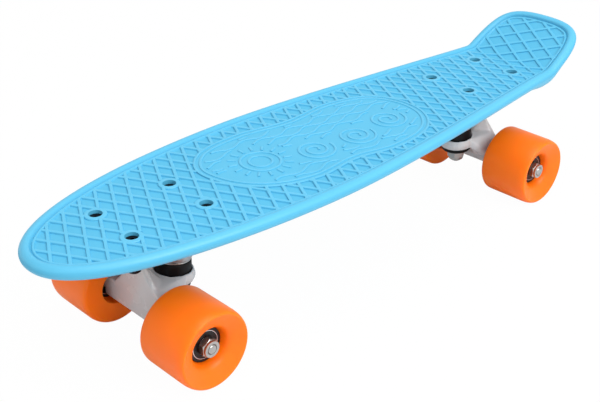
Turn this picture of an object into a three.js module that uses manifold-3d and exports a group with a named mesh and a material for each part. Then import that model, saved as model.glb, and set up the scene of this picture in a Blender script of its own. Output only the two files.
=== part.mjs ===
// Cruiser skateboard: a moulded plastic deck with a kicktail, trucks that lean to steer, and urethane wheels.
// Millimetres. X runs to the nose, Y to the left of a rider who faces it, and the wheels stand on Z = 0.

import * as THREE from "three";
import { ConvexGeometry } from "three/addons/geometries/ConvexGeometry.js";
import { mergeVertices } from "three/addons/utils/BufferGeometryUtils.js";
import Module from "manifold-3d";

const wasm = await Module();
wasm.setup();

// Stance: the trucks' bolt patterns, and the height that the trucks hold the deck at.
const patternHalf = 179.56; // from the middle of the wheelbase to the middle of a bolt pattern
const boltRowHalf = 31.75; // half of a bolt pattern's length
const boltPairHalf = 20.65; // half of its width
const axleOut = 11.07; // axle, outward of the pattern's middle
const truckHeight = 54; // from the axle to the top of the baseplate
const gap = 0.3; // running and seating clearance between two pieces
const cut = 6; // overrun of the tools that cut

// Deck outline, seen from above and laid flat, in three curves from the nose's tip to the tail's end.
const noseOverhang = 98.77; // the tip, ahead of the front pattern's middle
const widestX = 51.33; // where the deck is widest
const deckHalfWidth = 74.46;
const waistSetback = 59.43; // where the tail's width is reached, behind the rear pattern's middle
const tailHalfWidth = 48.57;
const kickSetback = 57; // the kicktail's kink, behind the rear pattern's middle
const kickLength = 63.59; // from the kink to the tail's end
const kickAngleDegrees = 28.33;
const kickBendRadius = 19.2;
const kneeDepth = 3.4; // how much deeper the underside is at the kink
const kneeHalfLength = 28;
const kneeSetback = 47; // its middle, behind the rear pattern's middle
const noseDrop = 2.5; // how far the deck curves down to the nose's tip
const noseDropSetback = 39.6; // where that starts, behind the front pattern's middle
const noseFrontShare = 1.023; // control points, as shares of the curve's own length or width
const noseSideShare = 0.005;
const bellyShare = 0.325;
const waistShare = 0.093;
const tailSideShare = 0.811;
const tailEndShare = 0.845;
const outlineSteps = [18, 15, 14];

// Deck section.
const rimRadius = 4.9;
const rimOverPad = 17.3; // middle of the rim, over the underside of the truck pads
const lipInner = 9.6; // width of the flat lip under the rim
const skinUnder = 3.1; // underside of the skin, below the rim's middle
const skinStep = 11; // where the underside of the skin begins, in from the edge
const rimInner = 7.6; // where the rim's roll turns down to the groove
const grooveIn = 8.6; // groove inside the rim, in from the edge
const grooveOver = 2.5; // groove's floor, over the rim's middle
const fieldIn = 9.1; // where the standing surface begins
const fieldOver = 2.9; // standing surface, over the rim's middle
const rimSteps = 5;

// Deck underside: a pad over each truck, and stiffening ribs.
const padHalfLength = 42;
const padHalfWidth = 29;
const padCorner = 7;
const padWall = 3.2;
const bossRadius = 6.5; // boss round each bolt inside the pad
const ribThickness = 2.8;
const ribOver = 3.5; // ribs' lower edge at the pads, over the underside of the pads
const ribArch = 5.5; // and how much higher it is halfway between the trucks
const ribSideShare = 0.72; // the outer ribs' place, as a share of the pad's half width
const crossRibOver = 9.5;
const crossRibSpacing = 46;
const crossRibCount = 5;
const noseRibGap = 21; // end of the nose ribs, short of the tip
const noseRibRise = 7.5;

// Deck bolts and nuts.
const boltRadius = 2.45;
const boltLength = 25.4;
const boltHeadRadius = 4.7;
const boltHeadSink = 3; // top of the head, below the standing surface
const boltHoleRadius = 2.75;
const counterboreRadius = 4.95;
const socketAcross = 3;
const socketDepth = 1.5;
const boltNutAcross = 8;
const boltNutHeight = 3.9;

// Baseplate, in the truck's own frame: X outward from the pattern's middle.
const plateHalfLength = 40;
const plateHalfWidth = 28;
const plateCorner = 8;
const plateThickness = 3.2;
const spineHalfWidth = 3;
const spineDepth = 4;

// Kingpin line: it leans, and everything on it is measured along it from the seat of the upper bushing's cup.
const kingpinIn = 15.3; // inward of the pattern's middle, at the seat's height
const seatUnderPlate = 34; // that height, below the top of the baseplate
const kingpinLeanDegrees = 5;
const kingpinRadius = 4.76;
const seatBossFoot = 10.1; // lower face of the baseplate's kingpin boss
const seatBossRadius = 14;
const seatBossFlare = 17;
const kingpinHeadSeat = 22.5;
const kingpinHeadHeight = 5.3;
const kingpinHeadAcross = 14.3;
const kingpinHeadWell = 8.8;
const upperWasherRadius = 13.3;
const washerThickness = 1.2;
const upperBushingRadius = 13.5;
const bushingBore = 5.1;
const bushingEase = 1.2; // rounding of the bushings' edges
const cupFloor = -4; // floor of the upper cup
const cupLip = 0; // lip of the upper cup
const cupInner = 13.8;
const cupLipRadius = 15.1;
const cupBelly = -4.5; // the collar's widest place
const cupBellyRadius = 16.6;
const cupHip = -8; // where it starts to round under
const cupHipRadius = 15.6;
const cupFoot = -9.5;
const cupFootRadius = 14.1;
const webThickness = 2.5; // wall between the two cups
const webHole = 6.5;
const lowerCupInner = 10.6;
const lowerBushingRadius = 13.4;
const lowerBushingFootRadius = 12;
const lowerBushingFoot = -13.4;
const lowerWasherRadius = 9.8;
const kingpinNutHeight = 9;
const kingpinNutAcross = 14.3;
const kingpinTail = 1.2; // thread past the nut

// Pivot: the hanger's nose in a plastic cup. The steering axis runs from it through the web between the cups.
const pivotOut = 23.4; // middle of the pivot, outward of the pattern's middle
const pivotUnderPlate = 9.2; // and below the top of the baseplate
const noseRadius = 6.1;
const noseReach = 1.8; // tip of the nose, past the pivot's middle
const noseRoot = 13; // root of the nose, before it
const noseRootRadius = 7.4;
const pivotCupRadius = 8;
const pivotCupWall = 1.4;
const pivotCupEase = 2; // bevel round the closed end of the cup
const pivotCupMouth = 4.6; // mouth of the cup, before the pivot's middle
const pivotBossRadius = 10.6;
const pivotBossMouth = 4.2;
const pivotBossEnd = 8;

// Hanger: an axle beam, a flat face that narrows to the pivot, and flanks that run back to the collar.
const beamRadius = 10;
const beamOverFace = 0.6; // end of the beam, past the side of the face's foot
const beamEase = 1.5;
const faceOut = 5.2; // the flat face, outward of the axle
const faceFootDrop = 8.5; // foot of the face, below the axle
const faceFootHalf = 42; // half widths of the face, from the foot up
const faceNeckHalf = 6.8;
const faceTopHalf = 5.8;
const faceSideRise = 3.6; // heights above the foot where the sides turn in, end, and the face ends
const faceNeckRise = 40.8;
const faceHeight = 49;
const faceRounding = 2.4;
const faceThickness = 3.6; // at the top
const faceRootThickness = 8; // and at the foot
const flankWaistRise = 28.5; // the flanks' upper edge, above the face's foot
const flankCrown = 1.5; // top of the spine behind the face, under the face's own
const flankHalf = 15; // end of the flanks at the collar, to each side
const flankTop = -0.4; // their upper edge there
const spineHalf = 6.5; // the spine's end at the collar, to each side
const scoopRadius = 15.2; // room round the lower bushing and nut
const crownRadius = 18; // room under the baseplate's kingpin boss
const crownOver = 4.5;

// Axle and wheels. Places along the axle are measured from the truck's middle plane.
const axleRadius = 4;
const axleReach = 7.7; // tip of the axle, past the core's end
const axleTipRadius = 3.3;
const wheelRadius = 30;
const bearingRadius = 11;
const bearingBore = 4.3;
const bearingWidth = 7;
const shieldOuter = 9.7;
const shieldInner = 6.1;
const shieldSink = 0.5;
const coreOuter = 13.1;
const coreShoulder = 8.6;
const coreLength = 24;
const tyreBackReach = 10.5; // the tyre's inner face, inward of the inner bearing
const tyreFrontReach = 11.4; // its outer face, past the core's end
const tyreInnerEase = 3;
const tyreBackHole = 13.6;
const tyreShoulderStart = 8.8; // start of the rounded outside shoulder, before the outer face
const tyreShoulderShares = [[0.4, 0.04], [0.76, 0.14], [0.93, 0.27], [1, 0.45]];
const tyreShoulderDrop = 5.6; // how much lower in radius the dish's edge is than the tread
const dishFoot = 15.5; // foot of the dished face
const dishFootIn = 5.9; // and how far inside the outer face it is
const axleNutAcross = 12.7;
const axleNutHeight = 5.3;
const axleNutCollar = 6.2;
const axleNutCollarHeight = 1.9;
const nutClearance = 4.25; // bore of the lock nuts over the axle's thread

const fine = 32; // sides of the tyres
const middling = 20; // sides of rings that show
const bearingSides = 16;
const coarse = 12; // sides of small turned pieces

// Places that follow from the sizes above.
const plateTop = wheelRadius + truckHeight;
const padFoot = plateTop + gap;
const rimMiddle = padFoot + rimOverPad;
const fieldTop = rimMiddle + fieldOver;
const skinFoot = rimMiddle - skinUnder;
const plateFoot = plateTop - plateThickness;
const kinkX = -patternHalf - kickSetback;
const kickAngle = THREE.MathUtils.degToRad(kickAngleDegrees);
const kingpinLean = THREE.MathUtils.degToRad(kingpinLeanDegrees);
const seatZ = plateTop - seatUnderPlate;
const webMiddle = cupFloor - webThickness / 2;
const collarMiddle = alongKingpin(webMiddle);
const pivotMiddle = new THREE.Vector3(pivotOut, 0, plateTop - pivotUnderPlate);
const pivotLine = pivotMiddle.clone().sub(collarMiddle).normalize();
const beamHalfLength = faceFootHalf + beamOverFace;
const bearingSeat = beamHalfLength + gap; // inner face of the inner bearing
const coreEnd = bearingSeat + coreLength;
const axleTip = coreEnd + axleReach;
const tyreInnerFace = bearingSeat - tyreBackReach;
const tyreOuterFace = coreEnd + tyreFrontReach;

// Place on the kingpin's line, this far above the cup's seat.
function alongKingpin(height) {
  const side = Math.sin(kingpinLean);
  return new THREE.Vector3(-kingpinIn - height * side, 0, seatZ + height * Math.cos(kingpinLean));
}

const skin = (color, roughness, metalness) => new THREE.MeshStandardMaterial({ color, roughness, metalness });
const deckPlastic = skin(0x6cc8f2, 0.42, 0);
const urethane = skin(0xff7a24, 0.38, 0);
const whitePaint = skin(0xdcdcde, 0.35, 0.1);
const castSilver = skin(0xb9bcc0, 0.4, 0.8);
const zincSteel = skin(0xc4c7ca, 0.3, 1);
const blackSteel = skin(0x1a1a1c, 0.4, 0.7);
const blackRubber = skin(0x121214, 0.5, 0);
const blackPlastic = skin(0x171718, 0.45, 0);

// The solid of a closed geometry, placed by a matrix.
function solidOf(geometry, matrix = new THREE.Matrix4()) {
  const loose = geometry.index ? geometry.toNonIndexed() : geometry;
  const bare = new THREE.BufferGeometry().setAttribute("position", loose.getAttribute("position").clone());
  const merged = mergeVertices(bare.applyMatrix4(matrix));
  const corners = merged.index.array;
  const kept = [];
  for (let i = 0; i < corners.length; i += 3) {
    const [a, b, c] = corners.slice(i, i + 3);
    if (a !== b && b !== c && a !== c) kept.push(a, b, c);
  }
  const vertProperties = merged.getAttribute("position").array;
  return new wasm.Manifold(new wasm.Mesh({ numProp: 3, vertProperties, triVerts: Uint32Array.from(kept) }));
}

function geometryOf(solid) {
  const { vertProperties, triVerts } = solid.getMesh();
  const geometry = new THREE.BufferGeometry();
  geometry.setAttribute("position", new THREE.BufferAttribute(vertProperties, 3));
  geometry.setIndex(new THREE.BufferAttribute(triVerts, 1));
  return geometry;
}

// A body turned about Z from [radius, height] pairs, which rise on the outside. A flat lies across X and Y.
function turned(profile, sides) {
  const points = profile.map(([radius, height]) => new THREE.Vector2(radius, height));
  return new THREE.LatheGeometry(points, sides, Math.PI / sides).rotateX(Math.PI / 2);
}

function rod(radius, low, high, sides) {
  return turned([[0, low], [radius, low], [radius, high], [0, high]], sides);
}

function sleeve(outer, inner, low, high, sides) {
  return turned([[inner, low], [outer, low], [outer, high], [inner, high], [inner, low]], sides);
}

// Radius of a faceted hole that a round shaft of this radius clears.
const round = (radius, sides) => radius / Math.cos(Math.PI / sides);

// A hexagon bar by its size across flats.
const hexBar = (across, low, high) => rod(round(across / 2, 6), low, high, 6);

// A shape extruded along Z, from low to high.
function plate(shape, low, high) {
  const settings = { depth: high - low, bevelEnabled: false, curveSegments: 4 };
  return new THREE.ExtrudeGeometry(shape, settings).translate(0, 0, low);
}

function roundedRectangle(halfLength, halfWidth, corner) {
  const shape = new THREE.Shape();
  shape.moveTo(halfLength - corner, -halfWidth);
  shape.quadraticCurveTo(halfLength, -halfWidth, halfLength, -halfWidth + corner);
  shape.lineTo(halfLength, halfWidth - corner);
  shape.quadraticCurveTo(halfLength, halfWidth, halfLength - corner, halfWidth);
  shape.lineTo(-halfLength + corner, halfWidth);
  shape.quadraticCurveTo(-halfLength, halfWidth, -halfLength, halfWidth - corner);
  shape.lineTo(-halfLength, -halfWidth + corner);
  shape.quadraticCurveTo(-halfLength, -halfWidth, -halfLength + corner, -halfWidth);
  return shape;
}

function box(lowX, highX, lowY, highY, lowZ, highZ) {
  const block = new THREE.BoxGeometry(highX - lowX, highY - lowY, highZ - lowZ);
  return block.translate((lowX + highX) / 2, (lowY + highY) / 2, (lowZ + highZ) / 2);
}

const at = (x, y, z) => new THREE.Matrix4().makeTranslation(x, y, z);

// Z turned onto a line in the XZ plane, from an origin on it.
function onLine(origin, direction) {
  const across = new THREE.Vector3(0, 1, 0);
  const third = new THREE.Vector3().crossVectors(across, direction);
  return new THREE.Matrix4().makeBasis(third, across, direction).setPosition(origin);
}

const kingpinPlace = onLine(
  alongKingpin(0),
  new THREE.Vector3(-Math.sin(kingpinLean), 0, Math.cos(kingpinLean)),
);
const pivotPlace = onLine(pivotMiddle, pivotLine);
const axlePlace = new THREE.Matrix4().makeRotationX(-Math.PI / 2).setPosition(axleOut, 0, wheelRadius);

// Half of the deck's flat outline, from the nose's tip to the tail's end, each point with its outward normal.
function halfOutline() {
  const tip = patternHalf + noseOverhang;
  const waist = -patternHalf - waistSetback;
  const end = kinkX - kickLength;
  const sideLength = widestX - waist;
  const point = (x, y) => new THREE.Vector2(x, y);
  const curves = [
    new THREE.CubicBezierCurve(
      point(tip, 0),
      point(tip, deckHalfWidth * noseFrontShare),
      point(widestX + (tip - widestX) * noseSideShare, deckHalfWidth),
      point(widestX, deckHalfWidth),
    ),
    new THREE.CubicBezierCurve(
      point(widestX, deckHalfWidth),
      point(widestX - sideLength * bellyShare, deckHalfWidth),
      point(waist + sideLength * waistShare, tailHalfWidth),
      point(waist, tailHalfWidth),
    ),
    new THREE.CubicBezierCurve(
      point(waist, tailHalfWidth),
      point(waist + (end - waist) * tailSideShare, tailHalfWidth),
      point(end, tailHalfWidth * tailEndShare),
      point(end, 0),
    ),
  ];
  const samples = [];
  curves.forEach((curve, index) => {
    const steps = outlineSteps[index];
    for (let step = index === 0 ? 0 : 1; step <= steps; step += 1) {
      const place = curve.getPoint(step / steps);
      const along = curve.getTangent(step / steps);
      samples.push({ place, normal: point(along.y, -along.x).normalize() });
    }
  });
  samples[0].normal.set(1, 0);
  samples[samples.length - 1].normal.set(-1, 0);
  return samples;
}

// Height of a point under the rim's middle, let down where the kick's knee is deeper.
function deepenKnee(x, height) {
  const away = (x + patternHalf + kneeSetback) / kneeHalfLength;
  if (height >= 0 || Math.abs(away) >= 1) return height;
  return height * (1 + (kneeDepth / rimRadius) * (1 - away ** 2) ** 2);
}

// Bends a point of the flat deck over the kick and down the nose. Heights are over the middle of the rim.
function foldDeck(x, y, level) {
  const height = deepenKnee(x, level);
  const tangent = kickBendRadius * Math.tan(kickAngle / 2);
  const past = kinkX + tangent - x;
  const dropShare = Math.max(0, (x - patternHalf + noseDropSetback) / (noseOverhang + noseDropSetback));
  if (past <= 0) return [x, y, rimMiddle + height - noseDrop * dropShare ** 2];
  const angle = Math.min(past / kickBendRadius, kickAngle);
  const rest = past - angle * kickBendRadius;
  const bentX = kinkX + tangent - kickBendRadius * Math.sin(angle) - rest * Math.cos(angle);
  const bentZ = kickBendRadius * (1 - Math.cos(angle)) + rest * Math.sin(angle);
  return [bentX + height * Math.sin(angle), y, rimMiddle + bentZ + height * Math.cos(angle)];
}

// Rings of [inset, height] pairs, from the middle of the underside round the rim to the standing surface.
function deckRings() {
  const rings = [
    [skinStep, -skinUnder],
    [lipInner, -rimRadius],
  ];
  for (let step = 0; step <= rimSteps; step += 1) {
    const angle = Math.PI * (step / rimSteps - 1 / 2);
    rings.push([rimRadius - rimRadius * Math.cos(angle), rimRadius * Math.sin(angle)]);
  }
  const roll = Math.sqrt(rimRadius ** 2 - (rimInner - rimRadius) ** 2);
  rings.push([rimInner, roll], [grooveIn, grooveOver], [fieldIn, fieldOver]);
  return rings;
}

// The deck's skin and rim: a ring of points for each place on the section, closed by strips across.
function deckShell(samples) {
  const rings = deckRings();
  const positions = [];
  const put = (...points) => points.forEach((spot) => positions.push(...spot));
  const last = samples.length - 1;
  const spot = (ring, index, side) => {
    const [inset, height] = rings[ring];
    const { place, normal } = samples[index];
    return foldDeck(place.x - inset * normal.x, side * (place.y - inset * normal.y), height);
  };
  for (let ring = 0; ring < rings.length - 1; ring += 1) {
    for (let index = 0; index < last; index += 1) {
      for (const side of [1, -1]) {
        const a = spot(ring, index, side);
        const b = spot(ring, index + 1, side);
        const c = spot(ring + 1, index + 1, side);
        const d = spot(ring + 1, index, side);
        if (side > 0) put(a, b, c, a, c, d);
        else put(a, c, b, a, d, c);
      }
    }
  }
  const top = rings.length - 1;
  for (let index = 0; index < last; index += 1) {
    const across = (ring) => [
      spot(ring, index, 1),
      spot(ring, index + 1, 1),
      spot(ring, index + 1, -1),
      spot(ring, index, -1),
    ];
    const roof = across(top);
    const floor = across(0);
    if (index > 0) {
      put(roof[0], roof[1], roof[3], roof[1], roof[2], roof[3]);
      put(floor[0], floor[3], floor[1], floor[1], floor[3], floor[2]);
    } else {
      put(roof[0], roof[1], roof[2]);
      put(floor[0], floor[2], floor[1]);
    }
  }
  const geometry = new THREE.BufferGeometry();
  return geometry.setAttribute("position", new THREE.Float32BufferAttribute(positions, 3));
}

// Half width of the flat outline at a place along the deck.
function halfWidthAt(samples, x) {
  const next = samples.findIndex(({ place }) => place.x <= x);
  const before = samples[next - 1].place;
  const after = samples[next].place;
  return THREE.MathUtils.mapLinear(x, before.x, after.x, before.y, after.y);
}

// One truck pad: a walled frame with a boss round each bolt hole and a cross of ribs.
function deckPad() {
  const roof = skinFoot + gap;
  const outer = solidOf(plate(roundedRectangle(padHalfLength, padHalfWidth, padCorner), padFoot, roof));
  const innerCorner = padCorner - padWall / 2;
  const innerShape = roundedRectangle(padHalfLength - padWall, padHalfWidth - padWall, innerCorner);
  let hollow = solidOf(plate(innerShape, padFoot - cut, skinFoot));
  for (const [x, y] of boltPlaces()) {
    hollow = hollow.subtract(solidOf(rod(bossRadius, padFoot - cut - cut, roof, coarse), at(x, y, 0)));
  }
  const half = ribThickness / 2;
  const long = box(-padHalfLength, padHalfLength, -half, half, padFoot - cut - cut, roof);
  const wide = box(-half, half, -padHalfWidth, padHalfWidth, padFoot - cut - cut, roof);
  hollow = hollow.subtract(solidOf(long)).subtract(solidOf(wide));
  return outer.subtract(hollow);
}

function boltPlaces() {
  const places = [];
  for (const x of [1, -1]) for (const y of [1, -1]) places.push([x * boltRowHalf, y * boltPairHalf]);
  return places;
}

// A rib along the deck, from its side outline in X and Z.
function longRib(outline, y) {
  const shape = new THREE.Shape(outline.map(([x, z]) => new THREE.Vector2(x, z)));
  const place = new THREE.Matrix4().makeRotationX(Math.PI / 2).setPosition(0, y, 0);
  return solidOf(plate(shape, -ribThickness / 2, ribThickness / 2), place);
}

function deckRibs(samples) {
  const roof = skinFoot + gap;
  const reach = patternHalf - padHalfLength + padWall / 2;
  const low = padFoot + ribOver;
  const high = low + ribArch;
  const side = padHalfWidth * ribSideShare;
  const archBend = reach / 2;
  const archFoot = [[-reach, low], [-archBend, high], [archBend, high], [reach, low]];
  const arch = [...archFoot, [reach, roof], [-reach, roof]];
  const noseStart = patternHalf + padHalfLength - padWall / 2;
  const noseEnd = patternHalf + noseOverhang - noseRibGap;
  const nose = [[noseStart, low], [noseEnd, low + noseRibRise], [noseEnd, roof], [noseStart, roof]];
  const ribs = [-side, 0, side].flatMap((y) => [longRib(arch, y), longRib(nose, y)]);
  for (let index = 0; index < crossRibCount; index += 1) {
    const x = (index - (crossRibCount - 1) / 2) * crossRibSpacing;
    const half = halfWidthAt(samples, x) - (lipInner + skinStep) / 2;
    const thick = ribThickness / 2;
    ribs.push(solidOf(box(x - thick, x + thick, -half, half, padFoot + crossRibOver, roof)));
  }
  return ribs;
}

// Room for a deck bolt: a counterbore, a countersink and a clearance hole.
function boltRoom() {
  const headTop = fieldTop - boltHeadSink;
  const headFoot = headTop - (boltHeadRadius - boltRadius) - gap;
  const hole = round(boltHoleRadius, coarse);
  const bore = round(counterboreRadius, coarse);
  const wideFoot = headFoot + (counterboreRadius - boltHoleRadius);
  const profile = [[0, padFoot - cut], [hole, padFoot - cut], [hole, headFoot], [bore, wideFoot]];
  return turned([...profile, [bore, fieldTop + cut], [0, fieldTop + cut]], coarse);
}

function deckSolid() {
  const samples = halfOutline();
  let deck = solidOf(deckShell(samples));
  for (const rib of deckRibs(samples)) deck = deck.add(rib);
  const pad = deckPad();
  const room = boltRoom();
  for (const middle of [patternHalf, -patternHalf]) {
    deck = deck.add(pad.translate(middle, 0, 0));
    for (const [x, y] of boltPlaces()) deck = deck.subtract(solidOf(room, at(middle + x, y, 0)));
  }
  return deck;
}

// Countersunk bolt, its head's top in Z = 0.
function boltSolid() {
  const cone = boltHeadRadius - boltRadius;
  const rim = socketDepth / 5;
  const shank = [[0, -boltLength], [boltRadius, -boltLength], [boltRadius, -cone - rim]];
  const head = [[boltHeadRadius, -rim], [boltHeadRadius, 0], [0, 0]];
  const body = solidOf(turned([...shank, ...head], coarse));
  return body.subtract(solidOf(hexBar(socketAcross, -socketDepth, cut)));
}

// Hexagon nut from Z = 0 down.
function nutSolid(across, height, boreRadius) {
  const bore = rod(round(boreRadius, coarse), -height - cut, cut, coarse);
  return solidOf(hexBar(across, -height, 0)).subtract(solidOf(bore));
}

function baseplateSolid() {
  const outline = roundedRectangle(plateHalfLength, plateHalfWidth, plateCorner);
  const body = solidOf(plate(outline, plateFoot, plateTop));
  const bossTop = seatUnderPlate;
  const boss = [[0, seatBossFoot], [seatBossRadius, seatBossFoot], [seatBossFlare, bossTop], [0, bossTop]];
  const pivotBoss = rod(pivotBossRadius, -pivotBossMouth, pivotBossEnd, middling);
  const spineFoot = plateFoot - spineDepth;
  const spine = box(-kingpinIn, pivotOut, -spineHalfWidth, spineHalfWidth, spineFoot, plateTop - gap);
  const above = rod(plateHalfLength + plateHalfWidth, plateTop, plateTop + plateHalfWidth, coarse);
  let solid = body.add(solidOf(turned(boss, middling), kingpinPlace)).add(solidOf(pivotBoss, pivotPlace));
  solid = solid.add(solidOf(spine)).subtract(solidOf(above));
  const shaftBore = round(kingpinRadius + gap, coarse);
  const shaftHole = rod(shaftBore, seatBossFoot - cut, kingpinHeadSeat + cut, coarse);
  const headWell = rod(kingpinHeadWell, kingpinHeadSeat, seatUnderPlate + cut, middling);
  const cupBore = round(pivotCupRadius + gap, middling);
  const cupEnd = cupDepth() + gap;
  const bevel = [[cupBore, cupEnd - pivotCupEase], [cupBore - pivotCupEase, cupEnd]];
  const cupHole = turned([[0, -noseRoot], [cupBore, -noseRoot], ...bevel, [0, cupEnd]], middling);
  solid = solid.subtract(solidOf(shaftHole, kingpinPlace)).subtract(solidOf(headWell, kingpinPlace));
  solid = solid.subtract(solidOf(cupHole, pivotPlace));
  const boltHole = rod(round(boltHoleRadius, coarse), plateFoot - plateTop, plateTop + cut, coarse);
  for (const [x, y] of boltPlaces()) solid = solid.subtract(solidOf(boltHole, at(x, y, 0)));
  return solid;
}

// End of the pivot cup, past the pivot's middle.
const cupDepth = () => noseReach + gap + pivotCupWall;

function pivotCupGeometry() {
  const inner = round(noseRadius + gap, middling);
  const floor = noseReach + gap;
  const end = cupDepth();
  const bevel = [[pivotCupRadius, end - pivotCupEase], [pivotCupRadius - pivotCupEase, end]];
  const outside = [[pivotCupRadius, -pivotCupMouth], ...bevel, [0, end]];
  return turned([[0, floor], [inner, floor], [inner, -pivotCupMouth], ...outside], middling);
}

function kingpinSolid() {
  const tail = lowerBushingFoot - 3 * gap - washerThickness - kingpinNutHeight - kingpinTail;
  const ease = kingpinRadius / 5;
  const headFoot = kingpinHeadSeat + gap;
  const foot = [[0, tail], [kingpinRadius - ease, tail], [kingpinRadius, tail + ease]];
  const shaft = [...foot, [kingpinRadius, headFoot + ease], [0, headFoot + ease]];
  const head = hexBar(kingpinHeadAcross, headFoot, headFoot + kingpinHeadHeight);
  return solidOf(turned(shaft, coarse)).add(solidOf(head));
}

function upperBushingGeometry(low, high) {
  const bore = round(bushingBore, coarse);
  const radius = upperBushingRadius;
  const foot = [[radius - bushingEase, low], [radius, low + bushingEase]];
  const head = [[radius, high - bushingEase], [radius - bushingEase, high]];
  return turned([[bore, low], ...foot, ...head, [bore, high], [bore, low]], middling);
}

// The lower bushing: a plug in the lower cup, and a flange that widens towards the collar's foot.
function lowerBushingGeometry() {
  const bore = round(bushingBore, coarse);
  const plugTop = cupFloor - webThickness - gap;
  const flangeTop = cupFoot - gap;
  const plugRadius = lowerCupInner - gap;
  const foot = [[bore, lowerBushingFoot], [lowerBushingFootRadius, lowerBushingFoot]];
  const flange = [[lowerBushingRadius, flangeTop - bushingEase], [lowerBushingRadius, flangeTop]];
  const plug = [[plugRadius, flangeTop], [plugRadius, plugTop], [bore, plugTop]];
  return turned([...foot, ...flange, ...plug, foot[0]], middling);
}

// Half width of the face's slanting sides at a height above its foot.
function faceHalfAt(rise) {
  return THREE.MathUtils.mapLinear(rise, faceSideRise, faceNeckRise, faceFootHalf, faceNeckHalf);
}

// The hanger's flat face, as an outline from its foot up.
function faceOutline() {
  const foot = [[faceFootHalf, 0], [faceFootHalf, faceSideRise]];
  const half = [...foot, [faceNeckHalf, faceNeckRise], [faceTopHalf, faceHeight]];
  return [...half, ...half.map(([y, rise]) => [-y, rise]).reverse()];
}

// The frame of that face: X across the truck, Y up the face, Z outward.
function facePlace() {
  const across = new THREE.Vector3(0, 1, 0);
  const up = new THREE.Vector3(0, 0, 1);
  const outward = new THREE.Vector3(1, 0, 0);
  const foot = new THREE.Vector3(axleOut + faceOut, 0, wheelRadius - faceFootDrop);
  return new THREE.Matrix4().makeBasis(across, up, outward).setPosition(foot);
}

// A closed outline with its corners rounded.
function roundedShape(points, rounding) {
  const shape = new THREE.Shape();
  const corner = points.map(([x, y]) => new THREE.Vector2(x, y));
  corner.forEach((here, index) => {
    const before = corner[(index + corner.length - 1) % corner.length];
    const after = corner[(index + 1) % corner.length];
    const reach = Math.min(rounding, here.distanceTo(before) / 2, here.distanceTo(after) / 2);
    const enter = here.clone().add(before.clone().sub(here).setLength(reach));
    const leave = here.clone().add(after.clone().sub(here).setLength(reach));
    if (index === 0) shape.moveTo(enter.x, enter.y);
    else shape.lineTo(enter.x, enter.y);
    shape.quadraticCurveTo(here.x, here.y, leave.x, leave.y);
  });
  return shape;
}

// The hull of a set of corners, each mirrored to the other side of the truck.
function mirroredHull(corners) {
  return solidOf(new ConvexGeometry(corners.flatMap((corner) => [corner, corner.clone().setY(-corner.y)])));
}

// The webs between the face and the collar: a broad low one for the flanks, and a narrow spine to the pivot.
function hangerWebs() {
  const place = facePlace();
  const onFace = (half, rise, depth) => new THREE.Vector3(half, rise, -depth).applyMatrix4(place);
  const onCollar = (out, half, height) => new THREE.Vector3(out, half, height).applyMatrix4(kingpinPlace);
  const waistHalf = faceHalfAt(flankWaistRise);
  const flanks = mirroredHull([
    onFace(faceFootHalf - gap, faceSideRise, faceRootThickness),
    onFace(faceFootHalf - gap, 0, faceRootThickness),
    onFace(waistHalf, flankWaistRise, faceThickness),
    onFace(waistHalf, faceSideRise, faceThickness / 2),
    onCollar(0, flankHalf, flankTop),
    onCollar(0, flankHalf, cupHip),
    onCollar(cupInner, spineHalf, cupHip),
    onCollar(cupInner, spineHalf, flankTop),
  ]);
  const spine = mirroredHull([
    onFace(waistHalf, flankWaistRise - gap, faceThickness),
    onFace(faceNeckHalf, faceNeckRise, faceThickness),
    onFace(faceTopHalf, faceHeight - flankCrown, faceThickness / 2),
    onFace(faceTopHalf, flankWaistRise, faceThickness / 2),
    onCollar(cupBellyRadius, spineHalf, flankTop),
    onCollar(cupInner, spineHalf, cupHip),
  ]);
  return flanks.add(spine);
}

function hangerSolid() {
  const easeStart = beamHalfLength - beamEase;
  const beamEnd = [[beamRadius, easeStart], [beamRadius - beamEase, beamHalfLength], [0, beamHalfLength]];
  const beamStart = beamEnd.map(([radius, y]) => [radius, -y]).reverse();
  const beam = solidOf(turned([...beamStart, ...beamEnd], middling), axlePlace);
  const faceX = axleOut + faceOut;
  const front = box(faceX, faceX + beamRadius, -faceFootHalf - cut, faceFootHalf + cut, 0, plateTop);
  const face = plate(roundedShape(faceOutline(), faceRounding), -faceThickness, 0);
  const collar = turned(
    [
      [0, cupFoot],
      [cupFootRadius, cupFoot],
      [cupHipRadius, cupHip],
      [cupBellyRadius, cupBelly],
      [cupLipRadius, cupLip],
      [0, cupLip],
    ],
    middling,
  );
  const noseEnd = [[noseRadius, noseReach - noseRadius / 2], [noseRadius / 2, noseReach], [0, noseReach]];
  const noseStart = [[0, -noseRoot], [noseRootRadius, -noseRoot], [noseRadius, -pivotCupMouth - gap]];
  const nose = turned([...noseStart, ...noseEnd], middling);
  let solid = hangerWebs().add(beam).subtract(solidOf(front)).add(solidOf(face, facePlace()));
  const crown = rod(crownRadius, cupLip + crownOver, seatUnderPlate, middling);
  const scoop = rod(scoopRadius, -seatUnderPlate, cupFoot, middling);
  for (const tool of [crown, scoop]) solid = solid.subtract(solidOf(tool, kingpinPlace));
  solid = solid.add(solidOf(collar, kingpinPlace)).add(solidOf(nose, pivotPlace));
  const upperCup = rod(round(cupInner, middling), cupFloor, seatUnderPlate, middling);
  const lowerCup = rod(round(lowerCupInner, middling), -seatUnderPlate, cupFloor - webThickness, middling);
  const hole = rod(webHole, -seatUnderPlate, cut, coarse);
  const axleBore = rod(round(axleRadius + gap, coarse), -beamHalfLength - cut, beamHalfLength + cut, coarse);
  for (const tool of [upperCup, lowerCup, hole]) solid = solid.subtract(solidOf(tool, kingpinPlace));
  return solid.subtract(solidOf(axleBore, axlePlace));
}

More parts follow.
